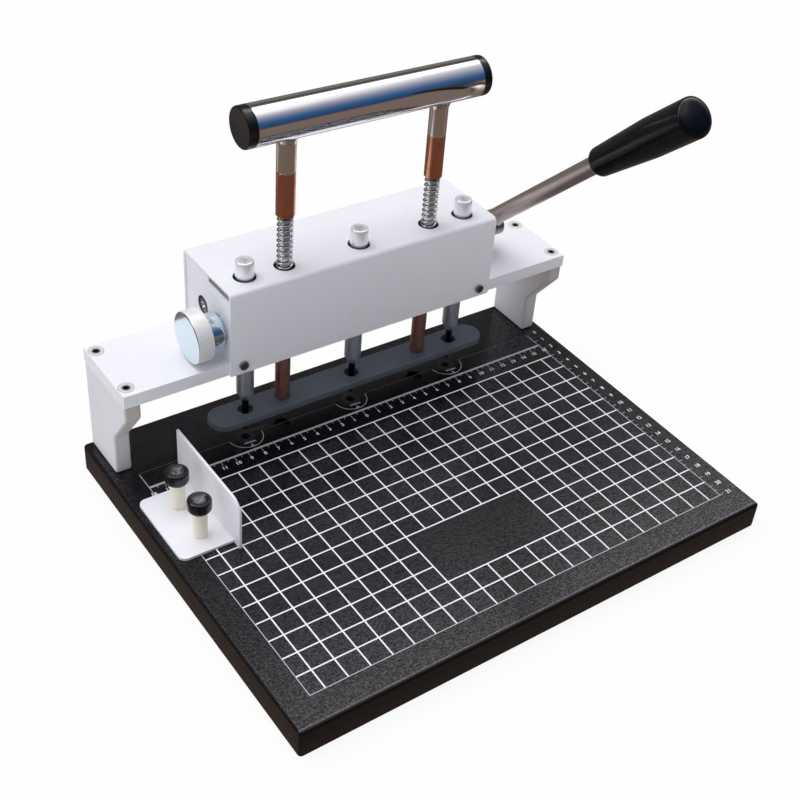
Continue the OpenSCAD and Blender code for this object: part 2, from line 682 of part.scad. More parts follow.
module needle_cap(x) translate([x, 0, cap_low]) difference() {
    union() {
        rotate_extrude() polygon([[0, 0], [plunger_r, 0], [plunger_r, 0.86 * cap_len],
            [0.96 * plunger_r, 0.95 * cap_len], [0.84 * plunger_r, cap_len], [0, cap_len]]);
        translate([0, 0, -0.45 * cap_len]) cylinder(d = spigot_d, h = 0.5 * cap_len);
    }
    translate([0, 0, 0.6 * cap_len]) cylinder(d = 0.55 * plunger_d, h = cap_len, $fn = hex_sides);
}
module chuck(x) translate([x, 0, chuck_low]) difference() {
    rotate_extrude() polygon([[0, 0], [chuck_tip_d / 2, 0], [chuck_d / 2, chuck_cone_h],
        [chuck_d / 2, chuck_len], [0, chuck_len]]);
    translate([0, 0, -cut]) cylinder(d = needle_d + 2 * seat_clear, h = chuck_len);
    translate([0, 0, spigot_low - seat_clear - chuck_low])
        cylinder(d = spigot_d + 2 * seat_clear, h = chuck_len);
}
module needle(x) translate([x, 0, needle_tip]) {
    cylinder(d1 = needle_d / 10, d2 = needle_d, h = needle_point);
    translate([0, 0, needle_point]) cylinder(d = needle_d, h = needle_top - needle_tip - needle_point);
}
module left_plunger() color("#a6a8ac") plunger(needle_xs[0]);
module left_cap() color("#d3d6da") needle_cap(needle_xs[0]);
module left_chuck() color("#8f9296") chuck(needle_xs[0]);
module left_needle() color("#222226") needle(needle_xs[0]);
module middle_plunger() color("#a6a8ac") plunger(needle_xs[1]);
module middle_cap() color("#d3d6da") needle_cap(needle_xs[1]);
module middle_chuck() color("#8f9296") chuck(needle_xs[1]);
module middle_needle() color("#222226") needle(needle_xs[1]);
module right_plunger() color("#a6a8ac") plunger(needle_xs[2]);
module right_cap() color("#d3d6da") needle_cap(needle_xs[2]);
module right_chuck() color("#8f9296") chuck(needle_xs[2]);
module right_needle() color("#222226") needle(needle_xs[2]);

// Press: bar, stubs, sleeves, rods and presser plate
bar_tube_half = bar_len / 2 - bar_cap_len;
cap_plug_len = 2 * bar_cap_len;
module press_bar() color("#b4bac2") translate([0, 0, bar_z]) difference() {
    x_rod(-bar_tube_half, bar_tube_half, bar_d);
    x_rod(-bar_tube_half - cut, bar_tube_half + cut, bar_d - 2 * bar_wall);
}
module bar_cap(side) translate([0, 0, bar_z]) {
    x0 = side * bar_len / 2;
    x1 = side * bar_tube_half;
    x2 = side * (bar_tube_half - cap_plug_len);
    x_rod(min(x0, x1), max(x0, x1), bar_d + 2 * seat_clear);
    x_rod(min(x1, x2), max(x1, x2), bar_d - 2 * bar_wall - 2 * seat_clear);
}
module left_bar_cap() color("#17171a") bar_cap(-1);
module right_bar_cap() color("#17171a") bar_cap(1);
module bar_stubs() color("#b0a9a0") for (x = rod_xs) difference() {
    translate([x, 0, sleeve_top]) cylinder(d = stub_d, h = bar_z - sleeve_top);
    translate([0, 0, bar_z]) x_rod(-bar_len, bar_len, bar_d + 2 * seat_clear);
}
module rod_sleeves() color("#8e5238") for (x = rod_xs) translate([x, 0, sleeve_low]) difference() {
    union() {
        translate([0, 0, wire_d]) cylinder(d = sleeve_d, h = sleeve_len - wire_d);
        cylinder(d1 = sleeve_d - wire_d, d2 = sleeve_d, h = wire_d);
    }
    translate([0, 0, -cut]) cylinder(d = stud_d + 2 * seat_clear, h = stud_top - sleeve_low + cut);
}
module press_rods() color("#8a5038") for (x = rod_xs) translate([x, 0, presser_top]) difference() {
    union() {
        cylinder(d = press_rod_d, h = guide_plate_low - presser_top - air_gap);
        cylinder(d = stud_d, h = stud_top - presser_top - air_gap);
    }
    translate([0, 0, -cut]) cylinder(d = big_screw_d + 2 * seat_clear, h = 3 * big_screw_d + cut);
}
module presser_plate() color("#55595f") difference() {
    translate([0, 0, presser_low]) {
        translate([-(presser_len - presser_w) / 2, -presser_w / 2, 0])
            cube([presser_len - presser_w, presser_w, presser_t]);
        for (s = [-1, 1]) translate([s * (presser_len - presser_w) / 2, 0, 0])
            cylinder(d = presser_w, h = presser_t);
    }
    for (x = needle_xs) translate([x, 0, presser_low - cut])
        cylinder(d = presser_hole_d, h = presser_t + 2 * cut);
    for (x = rod_xs) translate([x, 0, presser_low]) mirror([0, 0, 1])
        sunk_hole(big_screw_d, big_head_d, big_head_h, presser_t);
}
module presser_screws() color("#8c8c90") for (x = rod_xs) translate([x, 0, presser_low]) mirror([0, 0, 1])
    sunk_screw(big_screw_d, big_head_d, big_head_h, presser_t + 2.6 * big_screw_d);

// Springs. The wire's path lies on a cylinder: each step is how far it has gone round,
// how high it has come, and how steeply it climbs.
bend_steps = 3;
function bend_s(b) = wire_bend * (1 - cos(90 - b));
function bend_z(b) = wire_bend * sin(90 - b);
bend_angles = [for (i = [1 : bend_steps]) 90 - i * (90 - coil_slope) / bend_steps];
bend_foot = [bend_s(coil_slope), wire_end + bend_z(coil_slope)];
climb = coil_len - 2 * bend_foot[1];
coil_run = climb / tan(coil_slope);
coil_steps = round(coil_rings * coil_run / (PI * coil_d));
wire_run = 2 * bend_foot[0] + coil_run;
half_path = concat([[0, 0, 90], [0, wire_end, 90]],
    [for (b = bend_angles) [bend_s(b), wire_end + bend_z(b), b]]);
wire_path = concat(half_path,
    [for (i = [1 : coil_steps - 1]) [bend_foot[0] + i * coil_run / coil_steps,
        bend_foot[1] + i * climb / coil_steps, coil_slope]],
    [for (i = [len(half_path) - 1 : -1 : 0])
        [wire_run - half_path[i][0], coil_len - half_path[i][1], half_path[i][2]]]);
function wire_turn(p) = p[0] / (coil_d / 2) * 180 / PI;
function wire_centre(p) = [coil_d / 2 * cos(wire_turn(p)), coil_d / 2 * sin(wire_turn(p)), p[1]];
function wire_ring(p) = let (t = wire_turn(p), c = wire_centre(p))
    [for (k = [0 : coil_sides - 1]) let (a = 360 * k / coil_sides, u = wire_d / 2 * cos(a),
        v = wire_d / 2 * sin(a))
        c + u * [cos(t), sin(t), 0] + v * [sin(p[2]) * sin(t), -sin(p[2]) * cos(t), cos(p[2])]];
spring_points = [for (p = wire_path) each wire_ring(p)];
ring_count = len(wire_path);
spring_faces = concat(
    [for (i = [0 : ring_count - 2]) for (k = [0 : coil_sides - 1])
        let (a = i * coil_sides + k, b = i * coil_sides + (k + 1) % coil_sides)
        each [[a, b, b + coil_sides], [a, b + coil_sides, a + coil_sides]]],
    [for (k = [1 : coil_sides - 2]) [0, k + 1, k]],
    [for (k = [1 : coil_sides - 2]) let (e = (ring_count - 1) * coil_sides) [e, e + k, e + k + 1]]);
// Least gap between one stretch of the wire and any stretch at least half a turn away
wire_gap = min([for (i = [0 : ring_count - 1]) for (j = [i + coil_rings / 2 : 1 : ring_count - 1])
    norm(wire_centre(wire_path[i]) - wire_centre(wire_path[j]))]) - wire_d;
module spring(x) translate([x, 0, guide_plate_top]) polyhedron(spring_points, spring_faces);
module left_spring() color("#a8a8aa") spring(rod_xs[0]);
module right_spring() color("#a8a8aa") spring(rod_xs[1]);

// Lock knob: its screw bears on the left plunger
module lock_knob() color("#c9ced2") translate([0, knob_y, knob_z]) difference() {
    union() {
        x_rod(knob_left, knob_hub_left, knob_d);
        x_rod(knob_hub_left, knob_hub_right, knob_hub_d);
    }
    x_rod(knob_hub_left, 0, lock_stud_d + 2 * seat_clear);
}
module lock_stud() color("#9b9ea3") translate([0, knob_y, knob_z]) {
    x_rod(knob_hub_left + seat_clear, stud_tip_x - lock_stud_d / 2, lock_stud_d);
    x_rod(stud_tip_x - lock_stud_d / 2, stud_tip_x, 0.6 * lock_stud_d);
}

// Side guide: a bent sheet with an upright face, clamped by two thumb screws
module side_guide() color("#f0f0f4") difference() {
    union() {
        translate([guide_x - guide_t, 0, guide_low]) rotate([90, 0, 90]) linear_extrude(guide_t)
            difference() {
                translate([-guide_front, 0]) square([guide_front - guide_back, guide_h]);
                translate([-guide_front, guide_h - guide_corner_r]) difference() {
                    translate([-cut, 0]) square([guide_corner_r + cut, guide_corner_r + cut]);
                    translate([guide_corner_r, 0]) circle(r = guide_corner_r);
                }
            }
        translate([foot_x0 + foot_w / 2, -(foot_front + foot_back) / 2, guide_low])
            round_block(foot_w, foot_front - foot_back, guide_t, foot_corner_r);
        translate([foot_x0 + foot_w / 2, -foot_front, guide_low])
            cube([foot_w / 2, foot_front - foot_back, guide_t]);
    }
    for (y = [thumb_front, thumb_rear]) translate([thumb_x, -y, guide_low - cut])
        cylinder(d = big_screw_d + 2 * run_clear, h = guide_t + 2 * cut);
}
module slide_nuts() color("#8c8c90") for (y = [thumb_front, thumb_rear])
    translate([thumb_x, -y, nut_top - nut_t - air_gap / 2]) difference() {
        translate([-nut_w / 2, -nut_w / 2, 0]) cube([nut_w, nut_w, nut_t]);
        translate([0, 0, -cut]) cylinder(d = big_screw_d + 2 * run_clear, h = nut_t + 2 * cut);
    }

// One thumb screw's parts
module thumb_cap(y) translate([thumb_x, -y, cap_seat]) difference() {
    rotate_extrude() polygon([[0, 0], [0.94 * thumb_cap_d / 2, 0], [thumb_cap_d / 2, 0.1 * thumb_cap_h],
        [thumb_cap_d / 2, 0.86 * thumb_cap_h], [0.9 * thumb_cap_d / 2, thumb_cap_h], [0, thumb_cap_h]]);
    translate([0, 0, 0.7 * thumb_cap_h]) cylinder(d = 0.62 * thumb_cap_d, h = thumb_cap_h);
    translate([0, 0, -cut]) cylinder(d = big_screw_d + 2 * seat_clear, h = 0.55 * thumb_cap_h + cut);
}
module thumb_stem(y) translate([thumb_x, -y, stem_low]) difference() {
    cylinder(d = stem_d, h = stem_len);
    translate([0, 0, -cut]) cylinder(d = big_screw_d + 2 * seat_clear, h = stem_len + 2 * cut);
}
module thumb_bolt(y) translate([thumb_x, -y, bolt_low])
    cylinder(d = big_screw_d, h = cap_seat + 0.5 * thumb_cap_h - bolt_low);
module front_thumb_cap() color("#1c1c1f") thumb_cap(thumb_front);
module front_thumb_stem() color("#ece3c2") thumb_stem(thumb_front);
module front_thumb_bolt() color("#9b9ea3") thumb_bolt(thumb_front);
module rear_thumb_cap() color("#1c1c1f") thumb_cap(thumb_rear);
module rear_thumb_stem() color("#ece3c2") thumb_stem(thumb_rear);
module rear_thumb_bolt() color("#9b9ea3") thumb_bolt(thumb_rear);

echo(least_spring_gap = wire_gap, spring_turns = coil_run / (PI * coil_d));
echo(rise_up = rise_up, rise_down = rise_down, shaft_y = shaft_y, shaft_z = shaft_z);

base_board();
needle_pads();
left_leg();
right_leg();
leg_screws();
bridge_plate();
bridge_screws();
head_cover();
cover_screws();
left_end_plate();
right_end_plate();
end_plate_screws();
upper_guide_plate();
needle_bushes();
rod_bushes();
shaft_bushes();
lock_collar();
pinion_shaft();
pinions();
pinion_grub_screws();
shaft_collar();
lever_hub();
hub_grub_screw();
lever_rod();
lever_grip();
left_plunger();
left_cap();
left_chuck();
left_needle();
middle_plunger();
middle_cap();
middle_chuck();
middle_needle();
right_plunger();
right_cap();
right_chuck();
right_needle();
press_bar();
left_bar_cap();
right_bar_cap();
bar_stubs();
rod_sleeves();
press_rods();
presser_plate();
presser_screws();
left_spring();
right_spring();
lock_knob();
lock_stud();
side_guide();
slide_nuts();
front_thumb_cap();
front_thumb_stem();
front_thumb_bolt();
rear_thumb_cap();
rear_thumb_stem();
rear_thumb_bolt();
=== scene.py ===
# %% [markdown]
# # A three-hole binding machine
# A heavy black board carries a bridge on two cast legs, and a white head on the bridge
# hides three racks and pinions. A long lever on the right drives three needles down, and
# a chromed bar on two sprung rods clamps the paper first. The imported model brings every
# machined part in its true place. This script gives each one its finish, and rebuilds
# those whose rounded edges, coils or turned profiles the eye would miss.

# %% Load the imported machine
from math import cos, pi, radians, sin

import bmesh
import bpy
from mathutils import Matrix, Vector


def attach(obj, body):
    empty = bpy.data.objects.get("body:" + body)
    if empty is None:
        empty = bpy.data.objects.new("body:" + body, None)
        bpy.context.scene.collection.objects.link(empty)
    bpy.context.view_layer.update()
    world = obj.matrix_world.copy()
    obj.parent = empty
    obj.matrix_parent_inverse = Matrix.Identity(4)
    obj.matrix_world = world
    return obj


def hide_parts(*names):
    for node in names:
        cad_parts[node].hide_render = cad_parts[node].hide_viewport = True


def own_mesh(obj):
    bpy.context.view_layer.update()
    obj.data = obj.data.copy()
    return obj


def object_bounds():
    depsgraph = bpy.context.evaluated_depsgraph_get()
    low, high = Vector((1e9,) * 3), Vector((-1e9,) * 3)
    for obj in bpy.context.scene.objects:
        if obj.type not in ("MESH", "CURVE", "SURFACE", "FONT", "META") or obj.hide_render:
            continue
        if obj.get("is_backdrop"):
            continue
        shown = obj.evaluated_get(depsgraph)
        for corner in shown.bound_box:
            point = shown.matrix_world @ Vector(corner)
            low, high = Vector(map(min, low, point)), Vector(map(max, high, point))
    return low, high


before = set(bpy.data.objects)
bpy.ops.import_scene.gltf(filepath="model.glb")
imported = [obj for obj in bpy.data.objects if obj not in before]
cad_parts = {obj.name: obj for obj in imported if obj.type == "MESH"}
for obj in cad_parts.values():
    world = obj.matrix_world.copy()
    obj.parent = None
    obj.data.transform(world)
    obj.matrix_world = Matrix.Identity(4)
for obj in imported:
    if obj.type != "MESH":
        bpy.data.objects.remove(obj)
MM = 0.001
TURN = 2 * pi


def save_size():
    low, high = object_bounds()
    return [round((b - a) / MM, 1) for a, b in zip(low, high)]


print("nodes:", len(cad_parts), "size in mm:", save_size())

# %% [markdown]
# ## The camera
# The printed scale on the board gives the camera: its squares are 15 mm wide, so a
# pinhole that lays them on the photograph also fixes where the lens stood, which way it
# looked and how far its axis lay beside the middle of the frame. Those numbers are used
# as they came out. The photograph is cropped off centre, and lens shift gives that frame
# without a wider picture to crop. Focus and shift are in the photograph's pixels.

# %% Place the camera
CAMERA_AT = Vector((-413.56, -599.94, 592.37)) * MM
CAMERA_AXES = Matrix((
    (0.798979, 0.303853, -0.518946),
    (-0.593092, 0.540749, -0.596517),
    (0.099366, 0.784387, 0.612260),
))
PICTURE, FOCUS, SHIFT_X, SHIFT_Y = 800, 1311.0, -66.8, 0.1
lens = bpy.data.cameras.new("camera")
lens.sensor_width = 36
lens.lens = FOCUS / PICTURE * lens.sensor_width
lens.shift_x = SHIFT_X / PICTURE
lens.shift_y = SHIFT_Y / PICTURE
lens.clip_start = 0.01
camera = bpy.data.objects.new("camera", lens)
camera.matrix_world = Matrix.Translation(CAMERA_AT) @ CAMERA_AXES.to_4x4()
bpy.context.scene.collection.objects.link(camera)
bpy.context.scene.camera = camera
print("camera", [round(v, 3) for v in camera.location], "lens", round(lens.lens, 2))

# %% [markdown]
# ## Sums on sockets
# A procedural finish is a long chain of small sums. Wrapping a socket in a class with the
# usual operators lets each finish be written as plain maths, and every sum then adds its
# own Math node. Colours go through Mix nodes instead, because a Math node would turn them
# grey. One method, node, adds anything else.

# %% A socket that can be added, multiplied and measured


class Value:
    def __init__(self, graph, socket):
        self.graph = graph
        self.socket = socket

    def _sum(self, operation, first, second):
        return self.graph.node("ShaderNodeMath", {"operation": operation},
                               {0: first, 1: second})

    def __add__(self, other):
        return self._sum("ADD", self, other)

    __radd__ = __add__

    def __sub__(self, other):
        return self._sum("SUBTRACT", self, other)

    def __rsub__(self, other):
        return self._sum("SUBTRACT", other, self)

    def __mul__(self, other):
        return self._sum("MULTIPLY", self, other)

    __rmul__ = __mul__

    def __truediv__(self, other):
        return self._sum("DIVIDE", self, other)

    def __rtruediv__(self, other):
        return self._sum("DIVIDE", other, self)

    def absolute(self):
        return self._sum("ABSOLUTE", self, 0.0)

    def between(self, low, high):
        """0 below low, 1 above high and an even rise from one to the other."""
        return self.graph.node("ShaderNodeMapRange", {"clamp": True},
                               {"Value": self, "From Min": low, "From Max": high})

    def reach(self, other):
        """How far a point lies from the line on which this value and other are both 0."""
        return self._sum("POWER", self * self + other * other, 0.5)


print("socket sums ready")

# %% [markdown]
# ## A finish
# Each finish is one Principled shader. The helper below makes it, hands out the wrapped
# sockets of noise and of the place on the piece, and sets the shader's constants. Places
# are read in Object coordinates: every piece sits at the origin with its place in its
# mesh, so a pattern has its true size in metres and stays put when a joint moves.

# %% The finish helper


def paint(red, green, blue):
    """A colour as it is picked on a screen, from 0 to 255, as linear light."""
    return tuple(((v / 255 + 0.055) / 1.055) ** 2.4 if v > 10 else v / 255 / 12.92
                 for v in (red, green, blue)) + (1.0,)


class Graph:
    """A node tree that Values can be summed in."""

    def __init__(self, tree):
        self.tree = tree

    def link(self, value, target):
        if isinstance(value, Value):
            self.tree.links.new(value.socket, target)
        else:
            target.default_value = value

    def node(self, kind, settings, inputs, output=0):
        made = self.tree.nodes.new(kind)
        for key, value in settings.items():
            if key == "stops":
                self._stops(made.color_ramp, value)
            else:
                setattr(made, key, value)
        for key, value in inputs.items():
            self.link(value, made.inputs[key])
        return None if output is None else Value(self, made.outputs[output])

    def _stops(self, ramp, stops):
        ramp.elements.remove(ramp.elements[1])
        ramp.elements[0].position, ramp.elements[0].color = stops[0]
        for at, colour in stops[1:]:
            ramp.elements.new(at).color = colour

    def ramp(self, share, stops):
        return self.node("ShaderNodeValToRGB", {"stops": stops}, {"Fac": share})

    def blend(self, share, first, second):
        """first where share is 0, and second where it is 1."""
        return self.node("ShaderNodeMix", {"data_type": "RGBA"},
                         {"Factor": share, 6: first, 7: second}, 2)

    def axis(self, place, index):
        return self.node("ShaderNodeSeparateXYZ", {}, {"Vector": place}, index)


class Finish(Graph):
    def __init__(self, name, **constants):
        self.material = bpy.data.materials.new(name)
        self.material.use_nodes = True
        super().__init__(self.material.node_tree)
        self.shader = self.tree.nodes["Principled BSDF"]
        for socket, value in constants.items():
            self.set(socket.replace("_", " "), value)
        self.place = self.node("ShaderNodeTexCoord", {}, {}, "Object")

    def set(self, socket, value):
        self.link(value, self.shader.inputs[socket])

    def colour(self, share, first, second):
        self.set("Base Color", self.blend(share, first, second))

    def at(self, index):
        """How far along X, Y or Z, numbered 0, 1 and 2, each point lies, in metres."""
        return self.axis(self.place, index)

    def stretched(self, along, across_y=1.0, across_z=1.0, turn=0.0):
        """The place, turned about X, with X, Y and Z then drawn out or squeezed."""
        return self.node("ShaderNodeMapping", {"vector_type": "TEXTURE"},
                         {"Vector": self.place, "Rotation": (turn, 0, 0),
                          "Scale": (1 / along, 1 / across_y, 1 / across_z)})

    def noise(self, size, detail=2.0, rough=0.5, place=None):
        """Soft noise whose lumps are about size metres wide, round 0.5."""
        return self.node("ShaderNodeTexNoise", {"noise_dimensions": "3D"},
                         {"Vector": place or self.place, "Scale": 1 / size,
                          "Detail": detail, "Roughness": rough})

    def cells(self, size):
        """How far each point is from the middle of its cell, in cells."""
        return self.node("ShaderNodeTexVoronoi", {"feature": "F1"},
                         {"Vector": self.place, "Scale": 1 / size})

    def bump(self, height, distance, strength=1.0):
        """Lifts the surface by up to distance metres where height is 1."""
        self.set("Normal", self.node("ShaderNodeBump", {}, {
            "Height": height, "Distance": distance, "Strength": strength}))


print("helpers ready")

# %% [markdown]
# ## White powder coat
# Head, bridge, legs and side guide share one white powder coat. Baked powder never lies
# quite flat: it keeps a soft orange peel about a millimetre wide, and fingers leave
# patches that are a little smoother. The white leans faintly to blue. A plain white would
# look like paper, so both the colour and the gloss drift slightly.

# %% White powder coat
white_paint = Finish("white_paint", IOR=1.48)
drift = white_paint.noise(0.06, 3)
grime = white_paint.noise(0.011, 4).between(0.62, 0.8)
clean = white_paint.blend(drift, paint(236, 235, 241), paint(243, 243, 248))
white_paint.colour(grime * 0.25, clean, paint(216, 214, 216))
white_paint.set("Roughness", 0.34 + 0.14 * drift + 0.08 * grime)
white_paint.bump(white_paint.noise(0.0012, 1) + 0.4 * white_paint.noise(0.004, 1), 0.00003)
print("made", white_paint.material.name)

# %% [markdown]
# ## The coat on the cast legs
# The legs are castings: the same coat lies rougher and a shade greyer on them. Shade is
# painted into it towards the front as a brown-grey, but not on the outer left side. A
# painted shade that keeps to one end of a part is a rise over one coordinate, and two such
# rises multiplied leave it only where both are on.

# %% Leg coat
LEG_X = 172.0
leg_paint = Finish("leg_paint", IOR=1.48)
leg_drift = leg_paint.noise(0.03, 3)
cast = leg_paint.blend(leg_drift, paint(222, 220, 225), paint(230, 228, 232))
# Painted shade: brown-grey towards the front of the legs, kept off the left leg's outer
# side.
painted_front_shade = (leg_paint.at(1) * -1.0).between(-0.028, 0.012)
not_outer = leg_paint.at(0).between((0.1 - LEG_X) * MM, (1 - LEG_X) * MM)
leg_paint.colour(painted_front_shade * not_outer, cast, paint(194, 186, 182))
leg_paint.set("Roughness", 0.42 + 0.14 * leg_drift)
leg_paint.bump(leg_paint.noise(0.0016, 2) + 0.8 * leg_paint.noise(0.006, 1), 0.00005)
print("made", leg_paint.material.name)

# %% [markdown]
# ## Grained black board
# The board is faced in black laminate with a fine leather-like grain. Its ridges are
# glossier than its valleys and catch the light as grey specks about a millimetre wide,
# which is what tells it from plain black plastic. Noise decides where the specks are, a
# clear coat lies on them alone, and they feed the bump too. A pale line just behind the
# front rim is a painted highlight. In front the facing ends where the rim turns down, and
# the cut sides are dark brown.

# %% Grained black laminate
BOARD_X, BOARD_FRONT, BOARD_BACK, BOARD_TOP, RIM = 178.0, -230.0, 45.0, 20.0, 2.3
board_black = Finish("board_black", IOR=1.35, Coat_Roughness=0.17)
grain = board_black.cells(0.0014)
specks = board_black.noise(0.0015, 3, 0.65).between(0.42, 0.64)
patches = board_black.noise(0.014, 3).between(0.3, 0.7)
height = board_black.at(2)
to_front = board_black.at(1) * -1.0
turns_down = -BOARD_FRONT - RIM
past_rim = to_front.between((turns_down - 0.3) * MM, (turns_down + 0.2) * MM)
top_side = height.between((BOARD_TOP - 1.5) * MM, (BOARD_TOP - 0.5) * MM) * (1 - past_rim)
# Painted highlight: a pale line just behind the front rim.
painted_rim_highlight = to_front.between((turns_down - 1.1) * MM, (turns_down - 0.5) * MM) * top_side
facing = board_black.blend(
    specks * (0.02 + 0.06 * patches), paint(9, 7, 13), paint(70, 65, 76))
facing = board_black.blend(painted_rim_highlight * (0.45 + 0.3 * patches), facing, paint(120, 114, 118))
bare_side = board_black.blend(
    height.between(0.006, 0.013), paint(25, 19, 20), paint(13, 10, 11))
board_black.colour(top_side, bare_side, facing)
board_black.set("Coat Weight", specks * top_side)
board_black.set("Roughness", 0.18 + 0.06 * grain + 0.03 * patches)
board_black.bump(grain * 0.6 + specks, 0.00009, 0.6)
print("made", board_black.material.name)

# %% [markdown]
# ## White and grey print
# Grid, scale and numbers are screen printed on the laminate. Ink lies a few hundredths of
# a millimetre thick and sinks into the grain, so it is not an even white: small dark pits
# show through. The ruler line, the ticks and the frame are a shade greyer, and the line
# that joins the needle holes is a darker, dull grey.

# %% Screen-printed ink
print_white = Finish("print_white", Roughness=0.6)
pits = print_white.noise(0.0006, 3, 0.7).between(0.62, 0.75)
print_white.colour(pits * 0.4, paint(243, 242, 246), paint(150, 149, 154))
print_white.bump(pits, 0.00003)
print_grey = Finish("print_grey", Roughness=0.62)
worn = print_grey.noise(0.0009, 3, 0.7).between(0.5, 0.75)
at_needles = print_grey.at(1).between(-0.0012, -0.0006)
ink = print_grey.blend(at_needles, paint(186, 186, 191), paint(74, 71, 76))
print_grey.colour(worn * 0.5, ink, paint(118, 118, 124))
print_grey.bump(worn, 0.00003)
print("made", print_white.material.name, print_grey.material.name)

# %% [markdown]
# ## Steels
# Most small parts are steel, and they differ in how they were finished. A turned part
# carries fine rings round its axis, a ground plunger is nearly smooth, a drawn rod has
# long faint streaks, and blackened needles keep a dark skin. One function makes them all
# from a tone, a roughness and the way its marks run: noise that is squeezed along one
# direction and drawn out along another turns into streaks or rings.

# %% A steel of a given tone


def steel(name, tone, dark, roughness, marks, depth=0.000005, metallic=1.0, fleck=None,
          turn=0.0):
    made = Finish(name, Metallic=metallic)
    streaks = made.noise(0.0011, 3, 0.6, made.stretched(*marks, turn=turn))
    clouds = made.noise(0.012, 3)
    tinted = made.blend(0.2 + 0.3 * clouds + 0.4 * streaks, tone, dark)
    if fleck:
        tinted = made.blend(made.noise(0.004, 3).between(0.58, 0.75) * 0.35, tinted, fleck)
    made.set("Base Color", tinted)
    made.set("Roughness", roughness + 0.14 * (streaks - 0.5) + 0.08 * (clouds - 0.5))
    made.bump(streaks, depth)
    return made


ALONG_X = (0.06, 1.0, 1.0)
ALONG_Z = (1.0, 1.0, 0.06)
RINGS_X = (1.6, 0.12, 0.12)
RINGS_Z = (0.12, 0.12, 1.6)
print("steel marks along X and Z:", ALONG_X, ALONG_Z, "rings:", RINGS_X, RINGS_Z)

# %% The steels of the small parts
LEVER_TILT = 43.6
bright_steel = steel(
    "bright_steel", paint(206, 209, 214), paint(180, 184, 190), 0.24, RINGS_Z)
cap_steel = steel("cap_steel", paint(253, 253, 254), paint(238, 239, 241), 0.32, RINGS_Z,
                  0.0000015, metallic=0.45)
dull_steel = steel("dull_steel", paint(168, 164, 162), paint(136, 131, 128), 0.36, RINGS_X)
chuck_steel = steel("chuck_steel", paint(244, 247, 253), paint(228, 232, 240), 0.3,
                    RINGS_Z, 0.000002)
zinc_steel = steel("zinc_steel", paint(206, 212, 220), paint(172, 180, 192), 0.28, RINGS_X)
black_steel = steel("black_steel", paint(44, 43, 48), paint(24, 24, 28), 0.4, RINGS_Z)
dark_screw = steel("dark_screw", paint(176, 170, 166), paint(112, 106, 104), 0.34, RINGS_Z)
rod_steel = steel("rod_steel", paint(232, 218, 211), paint(206, 191, 184), 0.4, ALONG_Z,
                  turn=radians(90 - LEVER_TILT))
spring_steel = steel(
    "spring_steel", paint(232, 231, 231), paint(190, 189, 190), 0.26, RINGS_Z)
stub_steel = steel("stub_steel", paint(246, 240, 233), paint(220, 212, 204), 0.2, RINGS_Z)
print("steels made")

# %% [markdown]
# ## The lock knob's face and rim
# The knob's face is polished and its rim is knurled, a band of tiny teeth that scatters
# the light and looks almost white. The teeth are too fine for geometry, so they are noise
# drawn out along the knob's axis, laid on wherever a point is far enough from that axis.

# %% A knurled knob
LOCK_Z, KNOB_R = 114.4, 17.0
knob_steel = steel("knob_steel", paint(232, 243, 250), paint(216, 228, 238), 0.24, RINGS_X)
from_axis = knob_steel.at(1).reach(knob_steel.at(2) - LOCK_Z * MM)
at_knurl = from_axis.between((KNOB_R - 0.35) * MM, (KNOB_R - 0.2) * MM)
teeth = knob_steel.noise(0.0007, 2, 0.5, knob_steel.stretched(0.12))
knurl_tone = knob_steel.blend(teeth, paint(250, 248, 246), paint(222, 221, 220))
knob_steel.colour(at_knurl, paint(222, 237, 243), knurl_tone)
knob_steel.set("Roughness", 0.12 + 0.3 * at_knurl + 0.08 * teeth)
knob_steel.set("Metallic", 1.0 - 0.8 * at_knurl)
print("made", knob_steel.material.name)

# %% [markdown]
# ## The bridge screws
# Four countersunk screws hold the bridge down. Each shows a pale ring, a greyer one and a
# dark socket. The socket's darkness and the darker grey just round it are painted shade.
# The four lie alike about the machine's middle, so folding X and Y over with absolute
# values lays them on one another, and one set of rings serves them all.

# %% Rings round four screws
SCREW_X, SCREW_Y, SCREW_APART, BRIDGE_TOP = 166.5, 15.7, 21.3, 96.4
screw_steel = steel("screw_steel", paint(244, 241, 240), paint(212, 208, 206), 0.34,
                    RINGS_Z, metallic=0.3)
sideways = screw_steel.at(0).absolute() - SCREW_X * MM
lengthways = (screw_steel.at(1) - SCREW_Y * MM).absolute() - SCREW_APART * MM
from_screw = sideways.reach(lengthways)
# Painted shade: a darker grey close round the socket.
cone = screw_steel.blend(
    from_screw.between(0.0024, 0.0036), paint(160, 152, 148), paint(244, 241, 240))
cone = screw_steel.blend(from_screw.between(0.0041, 0.0049), cone, paint(184, 181, 180))
# Painted shade in the socket, below the screw head's top.
socket_shade = (screw_steel.at(2) * -1.0).between(
    (0.2 - BRIDGE_TOP) * MM, (0.8 - BRIDGE_TOP) * MM)
screw_steel.colour(socket_shade, cone, paint(58, 50, 48))
print("made", screw_steel.material.name)
